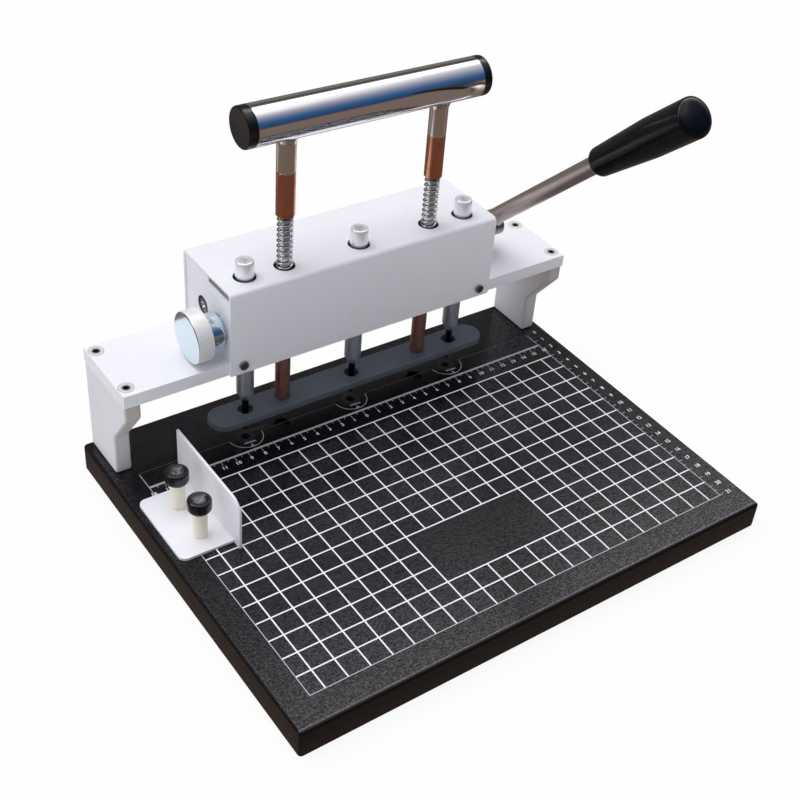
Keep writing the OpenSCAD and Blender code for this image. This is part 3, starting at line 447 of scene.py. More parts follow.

# %% [markdown]
# ## Chrome, copper and bronze
# The press bar is polished chrome, so it needs hardly any texture: its look is what it
# mirrors. The sleeves and lower rods are copper plated and a little tarnished, in long
# brown clouds. The bushes are oil-stained bronze. The plate that guides the plungers is
# bare steel, and its top under the cover is painted dark as shade, all but its ends.

# %% Plated and coloured metals
PLATE_TOP = 145.3
bar_chrome = Finish("bar_chrome", Metallic=1.0)
haze = bar_chrome.noise(0.02, 3, 0.5, bar_chrome.stretched(0.2))
bar_chrome.colour(haze, paint(246, 246, 248), paint(238, 238, 241))
bar_chrome.set("Roughness", 0.06 + 0.06 * haze)
copper = steel("copper", paint(236, 168, 134), paint(204, 134, 103), 0.2, RINGS_Z,
               fleck=paint(150, 92, 68))
old_copper = steel("old_copper", paint(232, 172, 152), paint(190, 136, 118), 0.24, RINGS_Z,
                   fleck=paint(112, 78, 66))
bronze = steel("bronze", paint(128, 98, 76), paint(88, 66, 52), 0.38, RINGS_X)
guide_steel = steel("guide_steel", paint(214, 214, 220), paint(190, 190, 197), 0.4, ALONG_X)
# Painted shade: the plate's top is dark under the cover and light only at its ends.
shaded_top = guide_steel.at(2).between((PLATE_TOP - 0.04) * MM, (PLATE_TOP - 0.01) * MM)
at_end = guide_steel.at(0).absolute().between(0.095, 0.097)
top_tone = guide_steel.blend(at_end, paint(38, 36, 38), paint(196, 194, 198))
guide_steel.colour(shaded_top, paint(205, 205, 212), top_tone)
print("metals made")

# %% [markdown]
# ## Black plastic
# The lever's grip is a glossy black moulding, and the bar's caps and the thumb screws'
# caps are a shade duller. Moulded plastic shows slow waves from shrinking and a few fine
# scuffs that dull it. A pale patch in the dished tops of the thumb screws is a painted
# highlight, laid on within a few millimetres of the axis of each.

# %% Moulded black plastic
THUMB_X, THUMB_FRONT, THUMB_REAR = -152.8, -70, -40.5
black_gloss = Finish("black_gloss", IOR=1.38)
scuffs = black_gloss.noise(0.004, 4, 0.65).between(0.5, 0.8)
black_gloss.colour(scuffs, paint(8, 7, 10), paint(18, 17, 20))
black_gloss.set("Roughness", 0.16 + 0.14 * scuffs)
black_gloss.bump(black_gloss.noise(0.012, 1), 0.00004)
cap_plastic = Finish("cap_plastic", IOR=1.5)
cap_dust = cap_plastic.noise(0.0016, 3, 0.7).between(0.55, 0.8)
beside = cap_plastic.at(0) - THUMB_X * MM
halfway, apart = (THUMB_REAR + THUMB_FRONT) / 2, (THUMB_REAR - THUMB_FRONT) / 2
ahead = (cap_plastic.at(1) - halfway * MM).absolute() - apart * MM
# Painted highlight: a pale patch in the middle of each dished top.
in_dish = 1.0 - beside.reach(ahead).between(0.001, 0.0046)
painted_dish_highlight = in_dish * cap_plastic.noise(0.0022, 3).between(0.3, 0.6)
cap_black = cap_plastic.blend(cap_dust, paint(9, 9, 11), paint(22, 21, 24))
cap_plastic.colour(painted_dish_highlight * 0.8, cap_black, paint(158, 156, 162))
cap_plastic.set("Roughness", 0.26 + 0.15 * cap_dust)
cap_plastic.bump(cap_dust, 0.00003)
print("made", black_gloss.material.name, cap_plastic.material.name)

# %% [markdown]
# ## Nylon, rubber and enamel
# The thumb screws' stems are cream nylon, which lets light in a little way and so gets
# some subsurface. The needles end on matt rubber pads, and the presser plate is grey
# enamel with a fine orange peel.

# %% Nylon, rubber and enamel
cream_nylon = Finish("cream_nylon", IOR=1.53, Subsurface_Weight=0.12)
cream_nylon.set("Subsurface Radius", (0.003, 0.002, 0.001))
milk = cream_nylon.noise(0.006, 3)
cream_nylon.colour(milk, paint(250, 246, 231), paint(244, 238, 216))
cream_nylon.set("Roughness", 0.38 + 0.14 * milk)
cream_nylon.bump(milk, 0.00004)
pad_rubber = Finish("pad_rubber", Roughness=0.7)
pad_grain = pad_rubber.noise(0.0008, 2)
pad_rubber.colour(pad_grain, paint(30, 30, 33), paint(46, 45, 50))
pad_rubber.bump(pad_grain, 0.00005)
presser_grey = Finish("presser_grey", IOR=1.5)
cloud = presser_grey.noise(0.03, 3)
presser_grey.colour(cloud, paint(83, 90, 101), paint(101, 108, 119))
presser_grey.set("Roughness", 0.36 + 0.12 * cloud)
presser_grey.bump(presser_grey.noise(0.0009, 2), 0.00003)
print("made", cream_nylon.material.name, pad_rubber.material.name,
      presser_grey.material.name)

# %% [markdown]
# ## Dressing the machined parts
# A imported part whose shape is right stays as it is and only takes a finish. It goes into
# the object's material slots, so neither its mesh nor its place is touched.

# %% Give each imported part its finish
NODE_FINISHES = {
    "base_board": board_black, "needle_pads": pad_rubber, "left_leg": leg_paint,
    "right_leg": leg_paint, "leg_screws": zinc_steel, "bridge_plate": white_paint,
    "bridge_screws": screw_steel, "head_cover": white_paint, "cover_screws": dark_screw,
    "left_end_plate": white_paint, "right_end_plate": white_paint,
    "end_plate_screws": zinc_steel, "upper_guide_plate": guide_steel,
    "needle_bushes": black_steel, "rod_bushes": black_steel, "shaft_bushes": bronze,
    "lock_collar": zinc_steel,
    "pinion_shaft": bright_steel, "pinions": dull_steel, "pinion_grub_screws": black_steel,
    "shaft_collar": dull_steel, "lever_hub": dull_steel, "hub_grub_screw": black_steel,
    "lever_rod": rod_steel, "lever_grip": black_gloss, "press_bar": bar_chrome,
    "left_bar_cap": cap_plastic, "right_bar_cap": cap_plastic, "bar_stubs": stub_steel,
    "rod_sleeves": copper, "press_rods": old_copper, "presser_plate": presser_grey,
    "presser_screws": zinc_steel, "left_spring": spring_steel, "right_spring": spring_steel,
    "lock_knob": knob_steel, "lock_stud": zinc_steel, "side_guide": white_paint,
    "slide_nuts": zinc_steel,
}
for side in ("left", "middle", "right"):
    NODE_FINISHES[side + "_plunger"] = bright_steel
    NODE_FINISHES[side + "_cap"] = cap_steel
    NODE_FINISHES[side + "_chuck"] = chuck_steel
    NODE_FINISHES[side + "_needle"] = black_steel
for end in ("front", "rear"):
    NODE_FINISHES[end + "_thumb_cap"] = cap_plastic
    NODE_FINISHES[end + "_thumb_stem"] = cream_nylon
    NODE_FINISHES[end + "_thumb_bolt"] = zinc_steel
for name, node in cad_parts.items():
    node.data.materials.clear()
    node.data.materials.append(NODE_FINISHES[name].material)
print("dressed", len(NODE_FINISHES), "packed parts")

# %% [markdown]
# ## Tools for new pieces
# Sharp computer edges give a model away, because every real edge is broken a little and
# catches a line of light. So the pieces that show are rebuilt: a sheet or plate starts
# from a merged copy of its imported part, whose outer edges are then bevelled, and a turned
# piece is half an outline spun round its axis. Both end in the same three steps: sit at
# the origin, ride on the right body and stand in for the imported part. Weighted normals
# keep flat faces flat beside a narrow bevel.

# %% Finish off a new piece


def add_piece(name, bm, finish, body, replaces=(), even=True):
    """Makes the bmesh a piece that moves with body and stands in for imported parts."""
    mesh = bpy.data.meshes.new(name)
    bm.to_mesh(mesh)
    bm.free()
    mesh.shade_smooth()
    mesh.set_sharp_from_angle(angle=radians(44))
    mesh.materials.append(finish.material)
    piece = bpy.data.objects.new(name, mesh)
    bpy.context.scene.collection.objects.link(piece)
    if even:
        weighted = piece.modifiers.new("even_normals", "WEIGHTED_NORMAL")
        weighted.keep_sharp = True
    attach(piece, body)
    if replaces:
        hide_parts(*replaces)
    print(f"{name}: {len(mesh.polygons)} faces")
    return piece


print("ready to add pieces")

# %% [markdown]
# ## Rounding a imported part
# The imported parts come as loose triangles, so bevel would find no edges between faces. A
# copy is merged first, and flat triangles are dissolved into whole faces. Then only edges
# that fold, and whose middle lies where the real part was rounded, are bevelled.

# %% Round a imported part's outer edges


def merged_copy(node):
    bm = bmesh.new()
    bm.from_mesh(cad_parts[node].data)
    bmesh.ops.remove_doubles(bm, verts=bm.verts, dist=0.002 * MM)
    bmesh.ops.dissolve_limit(bm, angle_limit=radians(0.3), verts=bm.verts, edges=bm.edges)
    return bm


def round_edges(bm, width, segments, chosen=lambda middle: True, least=30, longer=0):
    """Bevels the edges that fold by more than least degrees, whose middle is chosen and
    that are longer than a length in millimetres."""
    edges = [e for e in bm.edges if len(e.link_faces) == 2
             and e.calc_face_angle(0) > radians(least) and e.calc_length() > longer * MM
             and chosen((e.verts[0].co + e.verts[1].co) / 2 / MM)]
    bmesh.ops.bevel(bm, geom=edges, offset=width * MM, offset_type="OFFSET",
                    segments=segments, profile=0.5, affect="EDGES", material=-1,
                    clamp_overlap=True)
    return len(edges)


sample = merged_copy("base_board")
packed_faces = len(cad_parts["base_board"].data.polygons)
print("faces of the board, packed and merged:", packed_faces, len(sample.faces))
sample.free()

# %% [markdown]
# ## Turning on a lathe
# A lathe makes a part from half its outline, and spin does the same: it carries a few
# joined points round Z. Parts that lie along X are spun upright, then turned over. The
# normals are recalculated, because which way they point depends on the outline's order.

# %% Turn a piece on the lathe


def turned(outline, segments=96):
    """Spins half an outline, given as radius and height in millimetres, round Z."""
    bm = bmesh.new()
    verts = [bm.verts.new((r * MM, 0, z * MM)) for r, z in outline]
    for a, b in zip(verts, verts[1:]):
        bm.edges.new((a, b))
    bmesh.ops.spin(bm, geom=bm.verts[:] + bm.edges[:], cent=(0, 0, 0), axis=(0, 0, 1),
                   angle=TURN, steps=segments, use_merge=True)
    bmesh.ops.remove_doubles(bm, verts=bm.verts, dist=0.0005 * MM)
    bmesh.ops.recalc_face_normals(bm, faces=bm.faces)
    return bm


def placed(bm, x, y, z, turn=None):
    """Turns the mesh, if asked, and moves it to its place in millimetres."""
    if turn:
        bmesh.ops.transform(bm, matrix=turn, verts=bm.verts)
    bmesh.ops.translate(bm, verts=bm.verts, vec=Vector((x, y, z)) * MM)
    return bm


TO_X = Matrix.Rotation(radians(90), 4, "Y")


def join(*parts):
    """One bmesh from several."""
    whole = bmesh.new()
    for part in parts:
        mesh = bpy.data.meshes.new("part")
        part.to_mesh(mesh)
        part.free()
        whole.from_mesh(mesh)
        bpy.data.meshes.remove(mesh)
    return whole


print("tools ready")

# %% [markdown]
# ## The board
# The real board is a thick panel with a facing that is rounded over at its rim, where it
# shines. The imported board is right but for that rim, so a merged copy of it is bevelled
# along its outer edges only, and the slots and pads keep theirs. The lower edges are only
# broken a little.

# %% Round the board's rim
RIM_BAND = 2.7
board = merged_copy("base_board")


def at_rim(m):
    inside_x = abs(m.x) < BOARD_X - RIM_BAND
    inside_y = BOARD_FRONT + RIM_BAND < m.y < BOARD_BACK - RIM_BAND
    return not (inside_x and inside_y)


upper = round_edges(board, RIM, 5, lambda m: m.z > BOARD_TOP - 0.1 and at_rim(m))
lower = round_edges(board, 1.0, 4, lambda m: m.z < 0.1 and at_rim(m))
print("rim edges:", upper, lower)
add_piece("board", board, board_black, "frame", ["base_board"])

# %% [markdown]
# ## The print on the board
# The grid guides the eye when sheets are laid in: 15 mm squares, a scale counted outward
# from the middle, and another down the right edge. Ink is thin but has a sharp outline,
# so each line is a strip of mesh just above the laminate rather than a shader pattern,
# which would blur where strips cross. A strip is one create_grid square, stretched. The
# squares leave a panel free in the middle, and it stays bare.

# %% Rule the grid
INK = BOARD_TOP + 0.03
GRID_X, GRID_TOP, GRID_LOW, SQUARE = 150, -30, -210, 15
FRAME_X, LINE, CROSSING = 160.0, 0.95, 0.004
PANEL_X, PANEL_HIGH, PANEL_LOW = 45.0, -135.0, -180.0


def strip(bm, x0, y0, x1, y1, width, lift=0.0):
    """A printed line from one point of the board to another, raised by lift."""
    start, end = Vector((x0, y0, INK + lift)), Vector((x1, y1, INK + lift))
    along = end - start
    size = Matrix.Diagonal((along.length * MM / 2, width * MM / 2, 1, 1))
    turn = Matrix.Rotation(Vector((1, 0)).angle_signed(along.xy), 4, "Z").inverted()
    place = Matrix.Translation((start + end) / 2 * MM)
    bmesh.ops.create_grid(bm, x_segments=1, y_segments=1, size=1.0,
                          matrix=place @ turn @ size)


grid = bmesh.new()
for x in range(-GRID_X, GRID_X + 1, SQUARE):
    if abs(x) < PANEL_X:
        strip(grid, x, GRID_TOP, x, PANEL_HIGH, LINE)
        strip(grid, x, PANEL_LOW, x, GRID_LOW, LINE)
    else:
        strip(grid, x, GRID_TOP, x, GRID_LOW, LINE)
for y in range(GRID_TOP, GRID_LOW, -SQUARE):
    if PANEL_LOW < y < PANEL_HIGH:
        strip(grid, -FRAME_X, y, -PANEL_X, y, LINE, CROSSING)
        strip(grid, PANEL_X, y, FRAME_X, y, LINE, CROSSING)
    else:
        strip(grid, -FRAME_X, y, FRAME_X, y, LINE, CROSSING)
print("grid strips:", len(grid.faces))
add_piece("board_grid", grid, print_white, "frame", even=False)

# %% [markdown]
# ## Fainter print
# A thin grey frame surrounds the grid, a heavier ruler line carries the ticks, and each
# needle has a half ring before it with a small mark that shows the hole's middle. The
# frame's rear line stops at the rings, so that no needle goes through ink. Where strips
# cross they lie at slightly different heights, or their faces would flicker.

# %% Draw the frame, the ruler and the half rings
NEEDLES_X = (-83.0, 0.0, 83.0)
RING, RING_STEPS, HAIR, TICK, TICK_GAP, RULER_Y = 12.0, 24, 0.55, 0.4, 5, -15
faint = bmesh.new()
strip(faint, -FRAME_X, RULER_Y, FRAME_X, RULER_Y, 1.7, 0.01)
for side in (-1, 1):
    strip(faint, side * FRAME_X, 0, side * FRAME_X, GRID_LOW, HAIR, 0.01)
strip(faint, -FRAME_X, GRID_LOW, FRAME_X, GRID_LOW, HAIR, 0.012)
ends = [-FRAME_X] + [x + side * RING for x in NEEDLES_X for side in (-1, 1)] + [FRAME_X]
for x0, x1 in zip(ends[::2], ends[1::2]):
    strip(faint, x0, 0, x1, 0, HAIR, 0.012)
for middle in NEEDLES_X:
    for step in range(RING_STEPS):
        a, b = (pi + pi * k / RING_STEPS for k in (step, step + 1))
        strip(faint, middle + RING * cos(a), RING * sin(a), middle + RING * cos(b),
              RING * sin(b), HAIR, 0.014)
    strip(faint, middle - 4.3, -6.8, middle + 4.1, -7.3, 1.1, 0.014)
    for turn in (-0.9, 0.9):
        strip(faint, middle - 0.4, -9.2, middle - 0.4 + turn, -11.8, 0.8, 0.016)
for count in range(-32, 33):
    x, end = count * TICK_GAP, RULER_Y - (4.4 if count % 2 == 0 else 2.6)
    strip(faint, x, RULER_Y, x, end, TICK, 0.008)
for count in range(0, 43):
    y, end = -count * TICK_GAP, FRAME_X + (3.4 if count % 2 == 0 else 1.8)
    strip(faint, FRAME_X, y, end, y, TICK, 0.008)
print("faint strips:", len(faint.faces))
add_piece("board_frame_lines", faint, print_grey, "frame", even=False)

# %% [markdown]
# ## The numbers of the scale
# One scale counts centimetres to both sides from the middle, and the other counts them
# down the right edge. Blender's own font is close to the printed one once it is thickened
# a little. A text object can't be kept, so each number is made a mesh, and all of them
# become one piece.

# %% Print the numbers


def number(text, x, y, height):
    """The default font at a given size, thickened a little, as mesh centred on x and y."""
    words = bpy.data.curves.new("number", "FONT")
    words.body = text
    words.size = height * MM
    words.offset = 0.07 * MM
    words.align_x = "CENTER"
    words.align_y = "CENTER"
    words.resolution_u = 3
    holder = bpy.data.objects.new("number", words)
    bpy.context.scene.collection.objects.link(holder)
    flat = bpy.data.meshes.new_from_object(
        holder.evaluated_get(bpy.context.evaluated_depsgraph_get()))
    bpy.data.objects.remove(holder)
    bpy.data.curves.remove(words)
    flat.transform(Matrix.Translation(Vector((x, y, INK)) * MM))
    return flat


numbers = bmesh.new()
FIGURE, FIGURES_Y, FIGURES_X = 4.3, -21.9, 168.2
top_row = [(abs(count), count * 10, FIGURES_Y) for count in range(-16, 17)]
side_row = [(count, FIGURES_X, -count * 10) for count in range(0, 22)]
for count, x, y in top_row + side_row:
    flat = number(str(count), x, y, FIGURE)
    numbers.from_mesh(flat)
    bpy.data.meshes.remove(flat)
add_piece("board_numbers", numbers, print_white, "frame", even=False)

# %% [markdown]
# ## The bridge
# A thick white plate whose edges were dressed to a soft two-millimetre round. That round
# carries the long highlights in the photograph, so it is a real bevel of five segments,
# not a shading trick. Screw sinks in the plate keep a fine edge.

# %% Round the bridge plate
BRIDGE_X, BRIDGE_FRONT, BRIDGE_BACK, SINKS_X = 172.0, -13.9, 43.6, 150
bridge = merged_copy("bridge_plate")
outer = round_edges(bridge, 2.2, 5, lambda m: abs(m.x) > BRIDGE_X - 0.1
                    or m.y < BRIDGE_FRONT + 0.1 or m.y > BRIDGE_BACK - 0.1)
sinks = round_edges(bridge, 0.25, 2, lambda m: m.z > BRIDGE_TOP - 0.1
                    and SINKS_X < abs(m.x) < BRIDGE_X - 3)
print("bridge edges:", outer, "sink edges:", sinks)
add_piece("bridge", bridge, white_paint, "frame", ["bridge_plate"])

# %% [markdown]
# ## The legs
# Two castings with a slanted step at the front. All their long edges were dressed, also
# the blunt ones at the step, so here edges are chosen by their length and not by their
# place, which leaves out the short ones round the screw holes.

# %% Round the two legs
for name in ("left_leg", "right_leg"):
    leg = merged_copy(name)
    print("long edges:", round_edges(leg, 1.8, 4, least=10, longer=6))
    add_piece(name + "_casting", leg, leg_paint, "frame", [name])

# %% [markdown]
# ## The head cover
# One sheet folded over the works, so its two long edges are bends and not corners: the
# outside radius is the inside radius plus the sheet. Bevelling both edges of each fold,
# with the outer wider, gives exactly that. The cut ends and holes only lose their burr.

# %% Fold the cover
HEAD_X, HEAD_FRONT, HEAD_BACK, HEAD_TOP, SHEET = 101.3, -15.5, 45.2, 147.3, 1.6
cover = merged_copy("head_cover")


def at_fold(m, front, back, top):
    return abs(m.x) < 1 and abs(m.z - top) < 0.05 and min(
        abs(m.y - front), abs(m.y - back)) < 0.05


outside = round_edges(
    cover, SHEET + 0.6, 6, lambda m: at_fold(m, HEAD_FRONT, HEAD_BACK, HEAD_TOP))
inside = round_edges(cover, 0.6, 3, lambda m: at_fold(
    m, HEAD_FRONT + SHEET, HEAD_BACK - SHEET, HEAD_TOP - SHEET))
burr = round_edges(cover, 0.25, 2, lambda m: m.z > HEAD_TOP - 0.05 and abs(m.x) < HEAD_X - 2
                   and abs(m.y) < 8)
print("folds:", outside, inside, "hole edges:", burr)
add_piece("cover", cover, white_paint, "frame", ["head_cover"])

# %% [markdown]
# ## The press bar
# A chromed tube closed by two black caps. The long smooth mirror of the tube is the
# brightest thing in the photograph, so it is spun finely. Each cap is spun with a rounded
# rim and a face that is just hollow enough to catch a different light.

# %% Spin the bar and its caps
BAR_Z, BAR_R, BAR_X, CAP_LEN, BORE_R = 247.3, 12.7, 80.0, 6.0, 10.7
tube_outline = [(BORE_R, -BAR_X), (BAR_R - 0.2, -BAR_X), (BAR_R, -BAR_X + 0.2),
                (BAR_R, BAR_X - 0.2), (BAR_R - 0.2, BAR_X), (BORE_R, BAR_X),
                (BORE_R, -BAR_X)]
tube = placed(turned(tube_outline, 128), 0, 0, BAR_Z, TO_X)
add_piece("bar_tube", tube, bar_chrome, "press", ["press_bar"])


def arc(cx, cz, radius, start, end, steps=5):
    """Points on part of a circle, for the rounded corner of an outline."""
    return [(cx + radius * cos(radians(start + (end - start) * k / steps)),
             cz + radius * sin(radians(start + (end - start) * k / steps)))
            for k in range(steps + 1)]


cap_outline = ([(0, -4), (BORE_R - 0.2, -4), (BORE_R - 0.2, 0), (BAR_R, 0.15)]
               + arc(BAR_R - 1.2, CAP_LEN - 1.2, 1.2, 0, 90)
               + [(BAR_R - 3, CAP_LEN - 0.15), (0, CAP_LEN - 0.5)])
for side, name, turn in ((-1, "left_bar", TO_X.inverted()), (1, "right_bar", TO_X)):
    cap = placed(turned(cap_outline), side * BAR_X, 0, BAR_Z, turn)
    add_piece(name + "_end", cap, cap_plastic, "press", [name + "_cap"])

# %% [markdown]
# ## The stubs
# Two steel stubs join the bar to the rods. A stub's top is filed to fit the round bar, and
# here it simply flares and ends inside the tube, which looks the same from outside.

# %% Turn the stubs
RODS_X = (-55.0, 55.0)
STUB_R, STUB_LOW = 6.0, 213.0
stub_outline = ([(0, STUB_LOW)] + arc(STUB_R - 0.5, STUB_LOW + 0.5, 0.5, -90, 0, 3)
                + [(STUB_R, 231.6), (STUB_R + 0.35, 233.4), (STUB_R + 1.1, 235.4),
                   (STUB_R + 1.6, 237.4), (0, 239)])
stubs = join(*(placed(turned(stub_outline), x, 0, 0) for x in RODS_X))
add_piece("stubs", stubs, stub_steel, "press", ["bar_stubs"])

# %% [markdown]
# ## Sleeves and rods
# Copper-plated sleeves sit on the springs, and the rods below the head carry the presser
# plate. Both are plain turnings, and the small chamfers at their ends are what shows. The
# stud that joins them inside each spring is bare steel.

# %% Turn the sleeves and rods
SLEEVE_LOW, SLEEVE_R, SLEEVE_BORE = 182.3, 6.0, 3.6
ROD_LOW, ROD_HIGH, STUD_R, STUD_HIGH = 43.5, 140.1, 3.5, 204.3
sleeve_outline = ([(SLEEVE_BORE, SLEEVE_LOW), (4.6, SLEEVE_LOW),
                   (SLEEVE_R, SLEEVE_LOW + 1.4)]
                  + arc(SLEEVE_R - 0.4, STUB_LOW - 0.4, 0.4, 0, 90, 3)
                  + [(SLEEVE_BORE, STUB_LOW)])
sleeves = join(*(placed(turned(sleeve_outline), x, 0, 0) for x in RODS_X))
add_piece("sleeves", sleeves, copper, "press", ["rod_sleeves"])
rod_outline = [(0, ROD_LOW), (4.6, ROD_LOW), (5.0, ROD_LOW + 0.4), (5.0, ROD_HIGH - 0.6),
               (4.4, ROD_HIGH), (0, ROD_HIGH)]
rods = join(*(placed(turned(rod_outline, 64), x, 0, 0) for x in RODS_X))
add_piece("lower_rods", rods, old_copper, "press", ["press_rods"])
stud_outline = [(0, ROD_HIGH), (STUD_R, ROD_HIGH), (STUD_R, STUD_HIGH - 0.3),
                (0, STUD_HIGH)]
studs = join(*(placed(turned(stud_outline, 48), x, 0, 0) for x in RODS_X))
add_piece("spring_studs", studs, stub_steel, "press", ["press_rods"])

# %% [markdown]
# ## The springs
# A compression spring is one round wire wound in a screw, with its end coils closed and
# ground flat. Spin with a rise per step winds it: a circle of wire is carried round the
# axis, once with a small rise for the closed coil, then steeply, then closed again.

# %% Wind the springs
SPRING_LOW, SPRING_HIGH, COIL_R, WIRE_R = PLATE_TOP, SLEEVE_LOW, 4.5, 0.7
CLOSED, OPEN, CLOSED_PITCH, TRAVEL = 0.75, 8.75, 1.6, 17.5


def wound(x, steps=28):
    """A spring round the rod at x, in steps straight pieces of wire to a turn."""
    bm = bmesh.new()
    ring = bmesh.ops.create_circle(bm, cap_ends=False, segments=10, radius=WIRE_R * MM,
                                   matrix=Matrix.Translation(
                                       Vector((COIL_R, 0, SPRING_LOW + WIRE_R)) * MM)
                                   @ Matrix.Rotation(radians(90), 4, "X"))
    last = ring["verts"] + list({e for v in ring["verts"] for e in v.link_edges})
    rise = (SPRING_HIGH - SPRING_LOW - 2 * WIRE_R - 2 * CLOSED * CLOSED_PITCH) / OPEN
    for turns, pitch in ((CLOSED, CLOSED_PITCH), (OPEN, rise), (CLOSED, CLOSED_PITCH)):
        made = bmesh.ops.spin(bm, geom=last, cent=(0, 0, 0), axis=(0, 0, 1),
                              dvec=Vector((0, 0, pitch / steps)) * MM, angle=TURN * turns,
                              steps=round(steps * turns), use_merge=False)
        last = made["geom_last"]
    bmesh.ops.holes_fill(bm, edges=[e for e in bm.edges if e.is_boundary], sides=12)
    bmesh.ops.recalc_face_normals(bm, faces=bm.faces)
    return placed(bm, x, 0, 0)


for x, name in zip(RODS_X, ("left", "right")):
    spring = add_piece(name + "_coil", wound(x), spring_steel, "frame", [name + "_spring"],
                       even=False)
    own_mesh(spring)

# %% [markdown]
# ## The presser plate
# A grey enamelled bar with round ends that holds the paper down. Enamel thins at an edge
# and leaves it bright, so its rim is bevelled wide enough to be seen.

# %% Bevel the presser plate
PRESSER_R, ROUND_X = 11.0, 97.3
presser = merged_copy("presser_plate")
rim = round_edges(
    presser, 0.8, 2, lambda m: abs(m.y) > PRESSER_R - 0.1 or abs(m.x) > ROUND_X)
holes = round_edges(presser, 0.35, 2, lambda m: abs(m.y) < 6 and abs(m.x) < 92)
print("presser rim:", rim, "hole edges:", holes)
add_piece("presser", presser, presser_grey, "press", ["presser_plate"])

# %% [markdown]
# ## Needles
# Each needle unit ends in a bright turned cap above the cover and a darker chuck under
# the bridge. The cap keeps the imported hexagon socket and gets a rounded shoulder, and
# the chuck is spun with the groove and bright nose that the photograph shows.

# %% Make the needle caps and chucks
CHUCK_LOW, CHUCK_HIGH, CHUCK_BORE, CHUCK_R = 52.8, 79.8, 2.3, 5.7
SHOULDER, SOCKET_TOP, SOCKET_R = 156, 159, 4
chuck_outline = [(CHUCK_BORE, CHUCK_LOW), (2.9, CHUCK_LOW), (3.3, 53.1), (5.5, 57.7),
                 (CHUCK_R, 58.1), (CHUCK_R, 78.6), (5.4, 79.4), (5.4, CHUCK_HIGH),
                 (CHUCK_BORE, CHUCK_HIGH), (CHUCK_BORE, CHUCK_LOW)]
for x, side in zip(NEEDLES_X, ("left", "middle", "right")):
    cap, axis = merged_copy(side + "_cap"), Vector((x, 0))
    outer = round_edges(cap, 0.5, 3, lambda m: m.z > SHOULDER
                        and (m.xy - axis).length > SOCKET_R + 0.5, 12)
    inner = round_edges(cap, 0.2, 2, lambda m: m.z > SOCKET_TOP
                        and (m.xy - axis).length < SOCKET_R)
    print(side, "cap edges:", outer, inner)
    add_piece(side + "_needle_cap", cap, cap_steel, side + "_needle_unit", [side + "_cap"])
    nose = placed(turned(chuck_outline), x, 0, 0)
    add_piece(side + "_nose", nose, chuck_steel, side + "_needle_unit", [side + "_chuck"])

# %% [markdown]
# ## The lock knob
# A polished two-step knob: a wide disc to grip and a narrower hub that bears on the
# collar. Its rim has a clear chamfer that shines apart from the face.

# %% Turn the lock knob
KNOB_X, KNOB_LEN, DISC, HUB_R, EASE = -123.2, 20.3, 11.1, 11.9, 1.2
knob_outline = ([(0, 0), (KNOB_R - EASE - 0.2, 0)]
                + arc(KNOB_R - EASE, EASE, EASE, -90, 0, 4)
                + arc(KNOB_R - EASE, DISC - EASE, EASE, 0, 90, 4)
                + [(HUB_R + 0.3, DISC), (HUB_R, DISC + 0.3), (HUB_R, KNOB_LEN - 0.6),
                   (HUB_R - 0.5, KNOB_LEN), (4.1, KNOB_LEN), (4.1, 12), (0, 12)])
knob = placed(turned(knob_outline, 128), KNOB_X, 0, LOCK_Z, TO_X)
add_piece("knob", knob, knob_steel, "lock", ["lock_knob"])

# %% [markdown]
# ## The lever
# Shaft and hub run across the machine, and a rod leaves the hub forward and up at 43.6
# degrees. The lever's long pieces are spun upright and then turned by one matrix, so they
# share one axis. The hub has a boss under the rod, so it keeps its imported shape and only
# its two rims are rounded.

# %% Round the hub and turn the rod
SHAFT = (22.2, 118.5)
LEVER_X, HUB_LEFT, HUB_RIGHT, ROD_R, ROD_END = 124.0, 103.0, 134.0, 6, 158
TO_LEVER = Matrix.Rotation(radians(90 - LEVER_TILT), 4, "X")
hub = merged_copy("lever_hub")
rims = round_edges(hub, 0.7, 3, lambda m: not HUB_LEFT + 0.1 <= m.x <= HUB_RIGHT - 0.1)
print("hub rims:", rims)
add_piece("hub", hub, dull_steel, "lever", ["lever_hub"])
arm_outline = [(0, -2), (ROD_R, -2), (ROD_R, ROD_END), (0, ROD_END)]
arm = placed(turned(arm_outline, 64), LEVER_X, *SHAFT, TO_LEVER)
add_piece("lever_arm", arm, rod_steel, "lever", ["lever_rod"])

# %% [markdown]
# ## The grip
# A glossy moulding with a rounded lip, a body that swells evenly for a little more than
# half its length, an almost straight end and a flat dome. It hangs a little lower than
# the rod, so it is tilted by a degree and a half before the lever's matrix is applied.

# %% Turn the grip
GRIP_START, GRIP_LEN, DROOP, SWELL, DOME = 140.0, 90.2, 1.5, 0.578, 4.6
LIP_R, BODY_R, END_R, SWELL_STEPS = 9.8, 12.5, 12.65, 8
lip = 0.22 * LIP_R
grip_outline = [(ROD_R + 0.02, 3), (ROD_R + 0.02, 0)]
grip_outline += arc(LIP_R - lip, lip, lip, -90, 0, 5)
for k in range(1, SWELL_STEPS + 1):
    share = k / SWELL_STEPS
    grip_outline.append((LIP_R + (BODY_R - LIP_R) * share,
                         lip + (SWELL * GRIP_LEN - lip) * share))
grip_outline += [(END_R * sin(radians(a)), GRIP_LEN + DOME * cos(radians(a)))
                 for a in range(90, -1, -9)]
grip = turned(grip_outline, 96)
bmesh.ops.transform(grip, matrix=Matrix.Rotation(radians(DROOP), 4, "X"), verts=grip.verts)
bmesh.ops.translate(grip, vec=(0, 0, GRIP_START * MM), verts=grip.verts)
add_piece("grip", placed(grip, LEVER_X, *SHAFT, TO_LEVER), black_gloss, "lever",
          ["lever_grip"])

# %% [markdown]
# ## The side guide
# A bent white plate stands against the paper's edge. Its fold and the cut edges of its
# upright are eased like the cover's.

